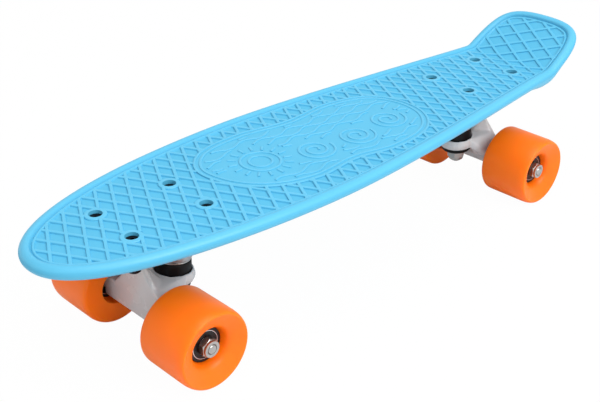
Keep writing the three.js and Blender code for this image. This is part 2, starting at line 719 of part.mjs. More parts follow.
function axleGeometry() {
  const ease = axleRadius - axleTipRadius;
  const end = [[axleRadius, axleTip - ease], [axleTipRadius, axleTip], [0, axleTip]];
  const start = end.map(([radius, y]) => [radius, -y]).reverse();
  return turned([...start, ...end], coarse);
}

function axleNutSolid() {
  const foot = coreEnd + gap;
  const top = foot + axleNutHeight;
  const collar = rod(axleNutCollar, top - gap, top + axleNutCollarHeight, coarse);
  const bore = rod(round(nutClearance, coarse), foot - cut, top + axleNutCollarHeight + cut, coarse);
  return solidOf(hexBar(axleNutAcross, foot, top)).add(solidOf(collar)).subtract(solidOf(bore));
}

function tyreGeometry() {
  const tread = round(wheelRadius, fine);
  const edge = tread - tyreShoulderDrop;
  const bore = round(coreOuter + gap, fine);
  const shoulderFrom = tyreOuterFace - tyreShoulderStart;
  const shoulder = tyreShoulderShares.map(([along, drop]) => [
    tread - tyreShoulderDrop * drop,
    shoulderFrom + tyreShoulderStart * along,
  ]);
  const back = [[tyreBackHole, bearingSeat], [tyreBackHole, tyreInnerFace]];
  const bevel = tyreInnerEase / 3;
  const inner = [[tread - tyreInnerEase, tyreInnerFace], [tread - bevel, tyreInnerFace + bevel]];
  const tyre = [[tread, tyreInnerFace + tyreInnerEase], [tread, shoulderFrom], ...shoulder];
  const dish = [[edge - gap, tyreOuterFace - bevel], [dishFoot, tyreOuterFace - dishFootIn], [bore, coreEnd]];
  return turned([[bore, bearingSeat], ...back, ...inner, ...tyre, ...dish, [bore, bearingSeat]], fine);
}

function coreGeometry() {
  const seat = round(bearingRadius + gap / 2, bearingSides);
  const shoulder = bearingWidth + gap;
  const inside = [[seat, coreEnd], [seat, coreEnd - shoulder], [coreShoulder, coreEnd - shoulder]];
  const back = [[coreShoulder, bearingSeat + shoulder], [seat, bearingSeat + shoulder], [seat, bearingSeat]];
  const outside = [[seat, bearingSeat], [coreOuter, bearingSeat], [coreOuter, coreEnd]];
  return turned([...outside, ...inside, ...back], bearingSides);
}

// A bearing from Z = 0 to its width, its shield sunk a little between the rings.
function bearingGeometry() {
  const bore = round(bearingBore, bearingSides);
  const sunk = bearingWidth - shieldSink;
  const top = [[bearingRadius, bearingWidth], [shieldOuter, sunk], [shieldInner, sunk], [bore, bearingWidth]];
  return turned([[bore, 0], [bearingRadius, 0], ...top, [bore, 0]], bearingSides);
}

// One mesh of the scene, from a solid or from a geometry that is already closed.
function meshOf(name, body, material) {
  const solid = body instanceof THREE.BufferGeometry ? solidOf(body) : body;
  const mesh = new THREE.Mesh(geometryOf(solid), material);
  mesh.name = name;
  return mesh;
}

function kingpinGroup(end) {
  const group = new THREE.Group();
  group.applyMatrix4(kingpinPlace);
  const upperFoot = seatBossFoot - gap - washerThickness;
  const lowerWasher = lowerBushingFoot - gap - washerThickness;
  const bore = round(bushingBore, coarse);
  const upper = upperBushingGeometry(cupFloor + gap, upperFoot - gap);
  const washer = (radius, low) => sleeve(radius, bore, low, low + washerThickness, middling);
  const nutBody = nutSolid(kingpinNutAcross, kingpinNutHeight, bushingBore);
  const nut = meshOf(`${end}_kingpin_nut`, nutBody, zincSteel);
  nut.position.z = lowerWasher - gap;
  group.add(
    meshOf(`${end}_kingpin`, kingpinSolid(), zincSteel),
    meshOf(`${end}_upper_washer`, washer(upperWasherRadius, upperFoot), zincSteel),
    meshOf(`${end}_upper_bushing`, upper, blackRubber),
    meshOf(`${end}_lower_bushing`, lowerBushingGeometry(), blackRubber),
    meshOf(`${end}_lower_washer`, washer(lowerWasherRadius, lowerWasher), zincSteel),
    nut,
  );
  return group;
}

// A wheel on the axle, its outer face to the truck's own +Y or -Y.
function wheelGroup(name, side) {
  const group = new THREE.Group();
  group.position.set(axleOut, 0, wheelRadius);
  group.rotation.x = (-side * Math.PI) / 2;
  const outer = meshOf(`${name}_outer_bearing`, bearingGeometry(), blackSteel);
  outer.position.z = coreEnd - bearingWidth;
  const inner = meshOf(`${name}_inner_bearing`, bearingGeometry(), blackSteel);
  inner.rotation.x = Math.PI;
  inner.position.z = bearingSeat + bearingWidth;
  group.add(
    meshOf(`${name}_tyre`, tyreGeometry(), urethane),
    meshOf(`${name}_core`, coreGeometry(), blackPlastic),
    outer,
    inner,
    meshOf(`${name}_axle_nut`, axleNutSolid(), zincSteel),
  );
  return group;
}

// The four bolts and nuts of a truck. The deck's left is on the truck's own +Y or -Y.
function boltGroup(end, leftSide) {
  const group = new THREE.Group();
  for (const [x, y] of boltPlaces()) {
    const spot = `${x > 0 ? "outer" : "inner"}_${y * leftSide > 0 ? "left" : "right"}`;
    const bolt = meshOf(`${end}_bolt_${spot}`, boltSolid(), blackSteel);
    bolt.position.set(x, y, fieldTop - boltHeadSink);
    const nutBody = nutSolid(boltNutAcross, boltNutHeight, boltHoleRadius);
    const nut = meshOf(`${end}_bolt_nut_${spot}`, nutBody, blackSteel);
    nut.position.set(x, y, plateFoot - gap);
    group.add(bolt, nut);
  }
  return group;
}

// A truck: its outward side faces the nose at the front, and it is turned round for the tail.
function truckGroup(end, turn) {
  const group = new THREE.Group();
  group.position.x = patternHalf * Math.cos(turn);
  group.rotation.z = turn;
  const axle = meshOf(`${end}_axle`, axleGeometry(), zincSteel);
  axle.applyMatrix4(axlePlace);
  const cup = meshOf(`${end}_pivot_cup`, pivotCupGeometry(), blackPlastic);
  cup.applyMatrix4(pivotPlace);
  const leftSide = Math.cos(turn) > 0 ? 1 : -1;
  group.add(
    meshOf(`${end}_baseplate`, baseplateSolid(), castSilver),
    meshOf(`${end}_hanger`, hangerSolid(), whitePaint),
    cup,
    axle,
    kingpinGroup(end),
    boltGroup(end, leftSide),
    wheelGroup(`${end}_left`, leftSide),
    wheelGroup(`${end}_right`, -leftSide),
  );
  return group;
}

const board = new THREE.Group();
const deck = meshOf("deck", deckSolid(), deckPlastic);
board.add(deck, truckGroup("front", 0), truckGroup("rear", Math.PI));

// The part's origin lies under the middle of its length.
deck.geometry.computeBoundingBox();
const { min, max } = deck.geometry.boundingBox;
board.position.x = -(min.x + max.x) / 2;

const part = new THREE.Group();
part.add(board);

export default part;
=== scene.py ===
import math

import bmesh
import bpy
import numpy as np
from mathutils import Matrix, Vector
from mathutils.geometry import interpolate_bezier
from mathutils.kdtree import KDTree


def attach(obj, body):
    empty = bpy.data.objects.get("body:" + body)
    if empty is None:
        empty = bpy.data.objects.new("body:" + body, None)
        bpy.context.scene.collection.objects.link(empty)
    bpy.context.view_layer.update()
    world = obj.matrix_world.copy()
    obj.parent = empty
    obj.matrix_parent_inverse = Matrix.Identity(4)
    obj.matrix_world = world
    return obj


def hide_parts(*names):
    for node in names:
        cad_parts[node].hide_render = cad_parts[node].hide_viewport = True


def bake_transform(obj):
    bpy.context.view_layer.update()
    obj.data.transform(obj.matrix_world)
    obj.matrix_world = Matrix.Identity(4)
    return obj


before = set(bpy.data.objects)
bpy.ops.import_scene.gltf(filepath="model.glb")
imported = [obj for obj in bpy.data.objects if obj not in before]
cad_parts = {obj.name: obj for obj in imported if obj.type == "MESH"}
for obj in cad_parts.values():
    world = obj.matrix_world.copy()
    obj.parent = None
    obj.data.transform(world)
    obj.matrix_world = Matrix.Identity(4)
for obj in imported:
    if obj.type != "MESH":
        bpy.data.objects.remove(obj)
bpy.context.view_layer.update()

# The view: from ahead of the board's left side and above it, with a long lens, as the board was photographed.
CAMERA_PLACE = (0.5554, 0.5179, 0.4529)
CAMERA_LOOKS = (-0.6171, -0.6245, -0.4787)
CAMERA_ROLL = math.radians(0.5)
CAMERA_LENS = 62.7
SENSOR_WIDTH = 36


def new_object(name, data):
    """A new object in the scene, at the origin."""
    made = bpy.data.objects.new(name, data)
    bpy.context.scene.collection.objects.link(made)
    return made


def aimed(place, direction):
    """Where a camera or a lamp stands, and which way it points."""
    return Matrix.Translation(place) @ Vector(direction).to_track_quat("-Z", "Y").to_matrix().to_4x4()


camera_data = bpy.data.cameras.new("camera")
camera_data.lens = CAMERA_LENS
camera_data.sensor_width = SENSOR_WIDTH
camera_data.clip_start = 0.01
camera = new_object("camera", camera_data)
camera.matrix_world = aimed(CAMERA_PLACE, CAMERA_LOOKS) @ Matrix.Rotation(CAMERA_ROLL, 4, "Z")
bpy.context.scene.camera = camera
bpy.context.scene.view_settings.view_transform = "Standard"

# White paper floor: one matt sheet, far wider than the view. It is shown as white to the camera, apart from
# the board's own soft shadow.
FLOOR_HALF = 6.0
FLOOR_DROP = 0.0004
SHOWN_WHITE = 0.98


def linear(code):
    """A #rrggbb colour as the linear RGBA that a socket takes."""
    shares = [int(code[i:i + 2], 16) / 255 for i in (1, 3, 5)]
    return tuple(c / 12.92 if c <= 0.04045 else ((c + 0.055) / 1.055) ** 2.4 for c in shares) + (1.0,)


def add(tree, kind, settings=(), links=(), **values):
    """Adds a node. Settings are its own options, values its inputs, and links its inputs from other nodes'
    outputs, or from a node's first output."""
    made = tree.nodes.new(kind)
    for name, value in dict(settings).items():
        setattr(made, name, value)
    for name, value in values.items():
        key = name.replace("_", " ")
        socket = made.inputs[int(key[2:])] if key.startswith("in") and key[2:].isdigit() else made.inputs[key]
        socket.default_value = value
    for name, source in dict(links).items():
        if isinstance(source, bpy.types.Node):
            source = next(output for output in source.outputs if output.enabled)
        tree.links.new(source, made.inputs[name])
    return made


def new_material(name):
    """An empty node material."""
    material = bpy.data.materials.new(name)
    material.use_nodes = True
    material.node_tree.nodes.clear()
    return material, material.node_tree


paper, tree = new_material("white_paper_floor")
path = add(tree, "ShaderNodeLightPath")
matt = add(tree, "ShaderNodeBsdfDiffuse", Color=linear("#e8e8e8"))
glow = add(tree, "ShaderNodeEmission", Color=linear("#ffffff"), Strength=1.0)
seen = add(tree, "ShaderNodeMath", {"operation": "MULTIPLY"}, {0: path.outputs["Is Camera Ray"]},
           in1=SHOWN_WHITE)
mixed = add(tree, "ShaderNodeMixShader", (), {0: seen, 1: matt, 2: glow})
add(tree, "ShaderNodeOutputMaterial", (), {"Surface": mixed})
floor_mesh = bpy.data.meshes.new("floor")
corners = [(x * FLOOR_HALF, y * FLOOR_HALF, -FLOOR_DROP) for x, y in ((-1, -1), (1, -1), (1, 1), (-1, 1))]
floor_mesh.from_pydata(corners, [], [(0, 1, 2, 3)])
floor_mesh.materials.append(paper)
floor = new_object("floor", floor_mesh)

# The room: an even white light from all round, which the camera sees as pure white, and two large square soft
# lamps, one overhead and one at the board's left side, that point at its middle.
ROOM_LIGHT = 0.72
BOARD_MIDDLE = Vector((0, 0, 0.06))
LAMPS = [  # name, place, size and power
    ("overhead_softbox", (0.1, 0.3, 2.0), 1.4, 17.0),
    ("side_softbox", (-0.1, 2.0, 1.7), 1.5, 41.6),
]

world = bpy.data.worlds.new("white_room")
bpy.context.scene.world = world
world.use_nodes = True
tree = world.node_tree
tree.nodes.clear()
path = add(tree, "ShaderNodeLightPath")
room = add(tree, "ShaderNodeBackground", Color=linear("#ffffff"), Strength=ROOM_LIGHT)
backdrop = add(tree, "ShaderNodeBackground", Color=linear("#ffffff"), Strength=1.0)
mixed = add(tree, "ShaderNodeMixShader", (), {0: path.outputs["Is Camera Ray"], 1: room, 2: backdrop})
add(tree, "ShaderNodeOutputWorld", (), {"Surface": mixed})

for name, place, size, power in LAMPS:
    lamp = bpy.data.lights.new(name, "AREA")
    lamp.size = size
    lamp.energy = power
    new_object(name, lamp).matrix_world = aimed(place, BOARD_MIDDLE - Vector(place))

# Deck: one injection moulding in sky-blue polypropylene, with a rolled rim, a kicktail and a flat truck pad
# over each truck. Its sizes are millimetres, seen flat: x to the nose, y to the left, heights over the rim's
# middle.
MM = 0.001
BOARD_SHIFT = 7.563  # from the middle of the wheelbase to the middle of the deck's length
PATTERN_HALF = 179.56
BOLT_ROW_HALF = 31.75
BOLT_PAIR_HALF = 20.65
RIM_MIDDLE = 101.6
NOSE_TIP = 278.08
WIDEST = 51.33
HALF_WIDTH = 74.46
WAIST = -238.99
TAIL_HALF_WIDTH = 48.57
KINK = -236.56
KICK_LENGTH = 63.52
KICK_ANGLE = math.radians(28.33)
BEND_RADIUS = 19.2
KNEE_DEPTH = 3.4
KNEE_HALF_LENGTH = 28.0
KNEE_MIDDLE = -226.56
NOSE_DROP = 2.5
DROP_START = 139.96
RIM_RADIUS = 4.9
OUTLINE_STEP = 1.7
FLOOR_OVER = 1.85  # floor of the lattice, over the rim's middle
SKIN_UNDER = 3.1
DECK_BLUE = "#57b1d4"
# The lattice floor's deeper blue is painted shade between the ribs, over a matt spark texture.
DECK_FLOOR_PAINTED_SHADE_BLUE = "#4fabcf"
SHARP_ANGLE = math.radians(35)

tail_end = KINK - KICK_LENGTH
OUTLINE_CURVES = [
    [(NOSE_TIP, 0), (NOSE_TIP, 76.2), (WIDEST + 1.18, HALF_WIDTH), (WIDEST, HALF_WIDTH)],
    [(WIDEST, HALF_WIDTH), (WIDEST - 94.4, HALF_WIDTH), (WAIST + 27.0, TAIL_HALF_WIDTH),
     (WAIST, TAIL_HALF_WIDTH)],
    [(WAIST, TAIL_HALF_WIDTH), (WAIST - 49.6, TAIL_HALF_WIDTH), (tail_end, 41.02), (tail_end, 0)],
]


def outward(loop):
    """The outward normals of a closed anticlockwise loop."""
    along = np.roll(loop, -1, 0) - np.roll(loop, 1, 0)
    along /= np.linalg.norm(along, axis=1)[:, None]
    return np.stack([along[:, 1], -along[:, 0]], 1)


def deck_outline():
    """Evenly spaced points round the deck's flat outline, anticlockwise from the nose."""
    half = []
    for curve in OUTLINE_CURVES:
        ends = [Vector((x, y, 0)) for x, y in curve]
        half += [(p.x, p.y) for p in interpolate_bezier(*ends, 200)][:-1]
    half = np.array(half + [(tail_end, 0)])
    reach = np.concatenate([[0], np.cumsum(np.linalg.norm(np.diff(half, axis=0), axis=1))])
    places = np.linspace(0, reach[-1], round(reach[-1] / OUTLINE_STEP) + 1)
    half = np.stack([np.interp(places, reach, half[:, i]) for i in (0, 1)], 1)
    return np.vstack([half, (half[1:-1] * [1, -1])[::-1]])


def fold(points):
    """Bends flat deck points over the kick and down the nose, and gives their places in metres."""
    x, y, height = np.array(points, float).reshape(-1, 3).T
    away = np.clip((x - KNEE_MIDDLE) / KNEE_HALF_LENGTH, -1, 1)
    height = np.where(height < 0, height * (1 + KNEE_DEPTH / RIM_RADIUS * (1 - away ** 2) ** 2), height)
    past = KINK + BEND_RADIUS * math.tan(KICK_ANGLE / 2) - x
    angle = np.clip(past / BEND_RADIUS, 0, KICK_ANGLE)
    rest = np.maximum(past - BEND_RADIUS * KICK_ANGLE, 0)
    bent_x = x + np.maximum(past, 0) - BEND_RADIUS * np.sin(angle) - rest * np.cos(angle)
    bent_z = BEND_RADIUS * (1 - np.cos(angle)) + rest * np.sin(angle)
    drop = NOSE_DROP * np.clip((x - DROP_START) / (NOSE_TIP - DROP_START), 0, None) ** 2
    up = RIM_MIDDLE + bent_z - drop + height * np.cos(angle)
    return np.stack([bent_x + height * np.sin(angle) + BOARD_SHIFT, y, up], 1) * MM


def smoothed(mesh):
    """Shades a mesh smooth, but for its sharp edges."""
    mesh.shade_smooth()
    mesh.set_sharp_from_angle(angle=SHARP_ANGLE)


def mesh_object(name, vertices, faces):
    """A mesh object at the origin, with its doubles merged and its faces outward."""
    mesh = bpy.data.meshes.new(name)
    mesh.from_pydata([tuple(v) for v in vertices], [], faces)
    shell = bmesh.new()
    shell.from_mesh(mesh)
    bmesh.ops.remove_doubles(shell, verts=shell.verts, dist=1e-6 * np.abs(vertices).max())
    bmesh.ops.recalc_face_normals(shell, faces=shell.faces)
    shell.to_mesh(mesh)
    shell.free()
    smoothed(mesh)
    return new_object(name, mesh)


def band(low, high, count):
    """The faces between two closed rings of points, given by the number of each one's first point."""
    return [(low + i, low + (i + 1) % count, high + (i + 1) % count, high + i) for i in range(count)]


def walls(loop, section):
    """Points and faces of the rings that a section's (inset, height) points draw along a closed loop."""
    count = len(loop)
    normals = outward(loop)
    points = [np.column_stack([loop - inset * normals, np.full(count, height)]) for inset, height in section]
    faces = []
    for ring in range(len(section) - 1):
        faces += band(ring * count, (ring + 1) * count, count)
    return np.vstack(points), faces


# Moulded polypropylene. The mould is polished on the rim and the ribs, which are glossy, and spark-textured
# on the lattice's floor, which is matt. The floor's deeper tint is painted shade, for the shade between the
# ribs,
# and the rim's tint, part way to it, is painted shade that tones down the rim's light. Real sparks are finer:
# drawn 0.7 mm wide, they show.
deck_plastic, tree = new_material("moulded_blue_polypropylene")
place = add(tree, "ShaderNodeTexCoord").outputs["Object"]
shine_and_painted_shade = add(tree, "ShaderNodeAttribute", {"attribute_name": "polish"}).outputs["Fac"]
sparks = add(tree, "ShaderNodeTexNoise", (), {"Vector": place}, Scale=1.5 / MM, Detail=2.0)
cloud = add(tree, "ShaderNodeTexNoise", (), {"Vector": place}, Scale=0.022 / MM, Detail=3.0)
# The tint deepens towards the floor's blue where the mould is least polished: painted shade.
tint = add(tree, "ShaderNodeMix", {"data_type": "RGBA"}, {"Factor": shine_and_painted_shade},
           A=linear(DECK_FLOOR_PAINTED_SHADE_BLUE), B=linear(DECK_BLUE))
shade = add(tree, "ShaderNodeMapRange", (), {"Value": cloud}, To_Min=0.96, To_Max=1.04)
toned = add(tree, "ShaderNodeHueSaturation", (), {"Color": tint, "Value": shade})
rough = add(tree, "ShaderNodeMapRange", (), {"Value": shine_and_painted_shade}, To_Min=0.62, To_Max=0.3)
broken = add(tree, "ShaderNodeMapRange", (), {"Value": sparks}, To_Min=0.85, To_Max=1.15)
sheen = add(tree, "ShaderNodeMath", {"operation": "MULTIPLY"}, {0: rough, 1: broken})
depth = add(tree, "ShaderNodeMapRange", (), {"Value": shine_and_painted_shade}, To_Min=0.4, To_Max=0.06)
bump = add(tree, "ShaderNodeBump", (), {"Height": sparks, "Strength": depth}, Distance=0.0002)
shader = add(tree, "ShaderNodeBsdfPrincipled", (), {"Base Color": toned, "Roughness": sheen, "Normal": bump},
             IOR=1.49, Specular_IOR_Level=0.36)
add(tree, "ShaderNodeOutputMaterial", (), {"Surface": shader})

# Section of the rim, inward from the edge: skin, lip, the half-round roll, the groove and the border rib.
rim_section = [(14.0, -SKIN_UNDER), (11.7, -SKIN_UNDER), (11.0, -3.35), (10.5, -4.1), (9.9, -4.75),
               (9.3, -4.9)]
for step in range(17):
    turn = math.pi * (step / 16 - 0.5)
    rim_section.append((RIM_RADIUS - RIM_RADIUS * math.cos(turn), RIM_RADIUS * math.sin(turn)))
rim_section += [(5.9, 4.8), (6.6, 4.5), (7.1, 4.05), (7.5, 3.4), (7.75, 2.7), (7.95, 2.3), (8.2, 2.15),
                (8.5, 2.25), (8.75, 2.7), (8.95, 3.0), (9.3, 3.2), (9.9, 3.2), (10.3, 3.05), (10.65, 2.5),
                (10.9, 2.05), (11.4, FLOOR_OVER)]

outline = deck_outline()
around = len(outline)
half_count = around // 2 + 1
deck_points, deck_faces = walls(outline, rim_section)
for start in (0, (len(rim_section) - 1) * around):
    for i in range(half_count - 1):
        strip = dict.fromkeys([i, i + 1, (around - i - 1) % around, (around - i) % around])
        deck_faces.append(tuple(start + s for s in strip))
deck = mesh_object("deck_moulding", deck_points, deck_faces)
bolt_places = [(end * PATTERN_HALF + row * BOLT_ROW_HALF, pair * BOLT_PAIR_HALF)
               for end in (1, -1) for row in (1, -1) for pair in (1, -1)]

# Grip lattice: raised ribs in two slanting families, moulded on the deck's floor from rim to rim. They run
# into the border rib, the bolt bosses and the plain middle panel. The mould shapes them from above, so they
# are drawn in plan and then laid along the deck.
RIB_PITCH = 13.636
RIB_ROW = 12.189
RIB_NODE = (178.518, -0.9)
RIB_NUMBERS = range(-42, 14)
RIB_LEVEL = 2.6  # height at which the plan is laid along the deck
RIB_END_INSET = 9.7
RIB_SHORTEST = 0.5
PLAN_STEP = 3
BOSS_RADIUS = 7.6
PANEL_NODES = [(-88, -8), (-72, -34), (-34, -45), (12, -42), (56, -50), (98, -46), (121, -24), (118, 8),
               (97, 34), (62, 47), (20, 45), (-20, 53), (-60, 47), (-84, 24)]


def flowing(nodes, steps, closed=False):
    """A smooth line through a few nodes, with some steps between each two."""
    nodes = [Vector((*n, 0)) for n in nodes]
    count = len(nodes)
    line = []
    for i in range(count if closed else count - 1):
        a, b, c, d = [nodes[k % count if closed else min(max(k, 0), count - 1)] for k in range(i - 1, i + 3)]
        curve = interpolate_bezier(b, b + (c - a) / 6, c - (d - b) / 6, c, steps + 1)
        line += [tuple(p)[:2] for p in curve[:-1]]
    return line if closed else line + [tuple(nodes[-1])[:2]]


def circle(x, y, radius, count=48):
    """Points round a circle, with the first one again at its end."""
    angles = np.linspace(0, 2 * math.pi, count + 1)
    return [(x + radius * math.cos(a), y + radius * math.sin(a)) for a in angles]


def spans(start, direction, polygon):
    """The stretches of a line within a polygon, as pairs of distances along it."""
    a = np.array(polygon) - start
    b = np.roll(a, -1, 0)
    across_a = a[:, 0] * direction[1] - a[:, 1] * direction[0]
    across_b = b[:, 0] * direction[1] - b[:, 1] * direction[0]
    hit = (across_a > 0) != (across_b > 0)
    share = across_a[hit] / (across_a[hit] - across_b[hit])
    cuts = sorted((a[hit] + (b[hit] - a[hit]) * share[:, None]) @ direction)
    return list(zip(cuts[::2], cuts[1::2]))


def without(kept, taken):
    """The kept spans with the taken ones cut out."""
    for low, high in taken:
        parts = [part for a, b in kept for part in ((a, min(b, low)), (max(a, high), b))]
        kept = [part for part in parts if part[1] - part[0] > RIB_SHORTEST]
    return kept


def path_mesh(name, lines):
    """Lines of (x, y) as loose edges, in millimetres. A line that ends where it starts becomes a ring."""
    points, edges = [], []
    for line in lines:
        start = len(points)
        edges += [(start + i, start + i + 1) for i in range(len(line) - 1)]
        points += [(x, y, 0.0) for x, y in line]
        if len(line) > 2 and np.allclose(line[0], line[-1]):
            points.pop()
            edges[-1] = (len(points) - 1, start)
    mesh = bpy.data.meshes.new(name)
    mesh.from_pydata(points, edges, [])
    return new_object(name, mesh)


def new_tree(name, result, **kinds):
    """A Geometry Nodes tree with its named inputs and its result, and where its nodes find the inputs."""
    tree = bpy.data.node_groups.new(name, "GeometryNodeTree")
    for label, kind in kinds.items():
        tree.interface.new_socket(label.replace("_", " "), in_out="INPUT", socket_type=f"NodeSocket{kind}")
    tree.interface.new_socket(result, in_out="OUTPUT", socket_type="NodeSocketGeometry")
    return tree, tree.nodes.new("NodeGroupInput").outputs


def end_tree(tree, geometry, material):
    """Ends a tree with its geometry made real and given its material."""
    real = add(tree, "GeometryNodeRealizeInstances", (), {"Geometry": geometry})
    painted = add(tree, "GeometryNodeSetMaterial", (), {"Geometry": real, "Material": material})
    add(tree, "NodeGroupOutput", (), {0: painted})


def settle(thing):
    """Gives an object the mesh that its modifiers make, and takes them off."""
    graph = bpy.context.evaluated_depsgraph_get()
    mesh = bpy.data.meshes.new_from_object(thing.evaluated_get(graph))
    thing.modifiers.clear()
    thing.data = mesh


def grown(path, tree, **sizes):
    """Runs a Geometry Nodes tree on an object, which becomes the plain mesh that it makes."""
    modifier = path.modifiers.new(tree.name, "NODES")
    modifier.node_group = tree
    for item in tree.interface.items_tree:
        key = item.name.replace(" ", "_")
        if item.in_out == "INPUT" and key in sizes:
            modifier[item.identifier] = sizes[key]
    settle(path)
    return path


def rib_tree():
    """Raises a rounded rib along each line of a path, from a little under it."""
    tree, given = new_tree("raised_ribs", "Ribs", Path="Geometry", Foot_Width="Float", Top_Width="Float",
                           Height="Float", Sunk="Float", Edge_Radius="Float", Step="Float",
                           Plastic="Material")
    full = add(tree, "ShaderNodeMath", {"operation": "ADD"}, {0: given["Height"], 1: given["Sunk"]})
    section = add(tree, "GeometryNodeCurvePrimitiveQuadrilateral", {"mode": "TRAPEZOID"}, {
        "Height": full, "Bottom Width": given["Foot Width"], "Top Width": given["Top Width"]}, Offset=0.0)
    eased = add(tree, "GeometryNodeFilletCurve", {"mode": "POLY"}, {
        "Curve": section, "Radius": given["Edge Radius"]}, Count=2, Limit_Radius=True)
    lift = add(tree, "ShaderNodeMath", {"operation": "SUBTRACT"}, {0: given["Sunk"], 1: given["Height"]})
    middle = add(tree, "ShaderNodeMath", {"operation": "DIVIDE"}, {0: lift}, in1=2.0)
    offset = add(tree, "ShaderNodeCombineXYZ", (), {"Y": middle})
    placed = add(tree, "GeometryNodeTransform", (), {"Geometry": eased, "Translation": offset},
                 Rotation=(0, 0, math.pi))
    curve = add(tree, "GeometryNodeMeshToCurve", (), {"Mesh": given["Path"]})
    even = add(tree, "GeometryNodeResampleCurve", {"mode": "LENGTH"}, {
        "Curve": curve, "Length": given["Step"]})
    upright = add(tree, "GeometryNodeSetCurveNormal", {"mode": "Z_UP"}, {"Curve": even})
    swept = add(tree, "GeometryNodeCurveToMesh", (), {
        "Curve": upright, "Profile Curve": placed}, Fill_Caps=True)
    end_tree(tree, swept, given["Plastic"])
    return tree


ribs_tree = rib_tree()


def combine(base, tool, operation):
    """Adds a closed tool to a closed base, or cuts it away, and removes the tool."""
    modifier = base.modifiers.new(operation.lower(), "BOOLEAN")
    modifier.operation = operation
    modifier.solver = "MANIFOLD"
    modifier.object = tool
    settle(base)
    bpy.data.objects.remove(tool)


def raised_ribs(lines, base, **sizes):
    """Ribs along flat lines, joined to the deck at a height over its rim's middle."""
    ribs = grown(path_mesh("ribs", lines), ribs_tree, Plastic=deck_plastic, **sizes)
    ribs.data.transform(Matrix.Translation((0, 0, base)))
    combine(deck, ribs, "UNION")


flat_x = np.linspace(tail_end, NOSE_TIP, 400)
plan_x = fold(np.column_stack([flat_x, 0 * flat_x, 0 * flat_x + RIB_LEVEL]))[:, 0] / MM - BOARD_SHIFT
panel = flowing(PANEL_NODES, 10, closed=True)
field = outline - RIB_END_INSET * outward(outline)
field[:, 0] = np.interp(field[:, 0], flat_x, plan_x)
slant = math.hypot(RIB_PITCH / 2, RIB_ROW)
for lean, rib_height in ((1, 1.25), (-1, 1.22)):
    direction = np.array([lean * RIB_PITCH / 2 / slant, RIB_ROW / slant])
    lines = []
    for number in RIB_NUMBERS:
        start = np.array([RIB_NODE[0] + number * RIB_PITCH, RIB_NODE[1]])
        kept = without(spans(start, direction, field), spans(start, direction, panel))
        for x, y in bolt_places:
            kept = without(kept, spans(start, direction, circle(x, y, BOSS_RADIUS, 24)[:-1]))
        for low, high in kept:
            reach = np.linspace(low, high, max(2, round((high - low) / PLAN_STEP) + 1))
            plan = start + reach[:, None] * direction
            lines.append(np.column_stack([np.interp(plan[:, 0], plan_x, flat_x), plan[:, 1]]))
    raised_ribs(lines, FLOOR_OVER, Foot_Width=3.3, Top_Width=2.3, Height=rib_height, Sunk=0.5,
                Edge_Radius=0.5, Step=3.4)

# Middle panel: a plain raised field with a sun, three curled crests and rolling waves in low relief, inside
# a double border. It is moulded with the deck.
PANEL_OVER = 0.45
PANEL_EDGE = [(-0.3, -0.6), (-0.2, 0.1), (0, 0.2), (0.2, 0.35), (0.6, PANEL_OVER)]  # inset, height
RELIEF_HEIGHT = 0.75
BORDER_INSETS = (0.8, 5.2)
SEA_INSET = 8.5
SUN = (76, -2)
SUN_RINGS = (15.5, 9.0)
SUN_RAYS = 16
RAY_REACH = (18.5, 21, 25)
SUN_CLEAR = 29.0
CURLS = [(32, 12), (-10, 16), (-51, 12)]
CURL_CLEAR = 20.0
CURL_RADII = (3.0, 16.5)
CURL_START = 2.2
CURL_TURNS = 2.15
WAVES = 15
WAVE_PITCH = 7.2
WAVE_HEIGHT = 2.4
WAVE_LENGTH = 31
WAVE_SHIFT = 0.37  # of its length, from one wave to the next
SEA_ENDS = (-95, 130)
SEA_SIDE = -50


def inset_loop(loop, inset):
    """A closed loop moved inward, with its first point again at its end."""
    inner = np.array(loop) - inset * outward(loop)
    return [tuple(p) for p in inner] + [tuple(inner[0])]


def inside(line, polygon):
    """Which points of a line lie in a polygon."""
    x, y = np.array(line).T[:, :, None]
    ax, ay = np.array(polygon).T
    bx, by = np.roll(ax, -1), np.roll(ay, -1)
    straddles = (ay > y) != (by > y)
    crossed = straddles & (x < ax + (y - ay) * (bx - ax) / np.where(by == ay, 1e-9, by - ay))
    return crossed.sum(1) % 2 == 1


def runs(line, kept):
    """The unbroken stretches of a line's kept points."""
    breaks = np.flatnonzero(np.diff(kept.astype(int))) + 1
    parts = zip(np.split(line, breaks), np.split(kept, breaks))
    return [part for part, keep in parts if keep[0] and len(part) > 4]


def curl(x, y):
    """A spiral crest."""
    shares = np.linspace(0, 1, 60)
    angles = CURL_START + shares * CURL_TURNS * 2 * math.pi
    radii = CURL_RADII[0] + (CURL_RADII[1] - CURL_RADII[0]) * shares
    return np.column_stack([x + radii * np.cos(angles), y + radii * np.sin(angles)])


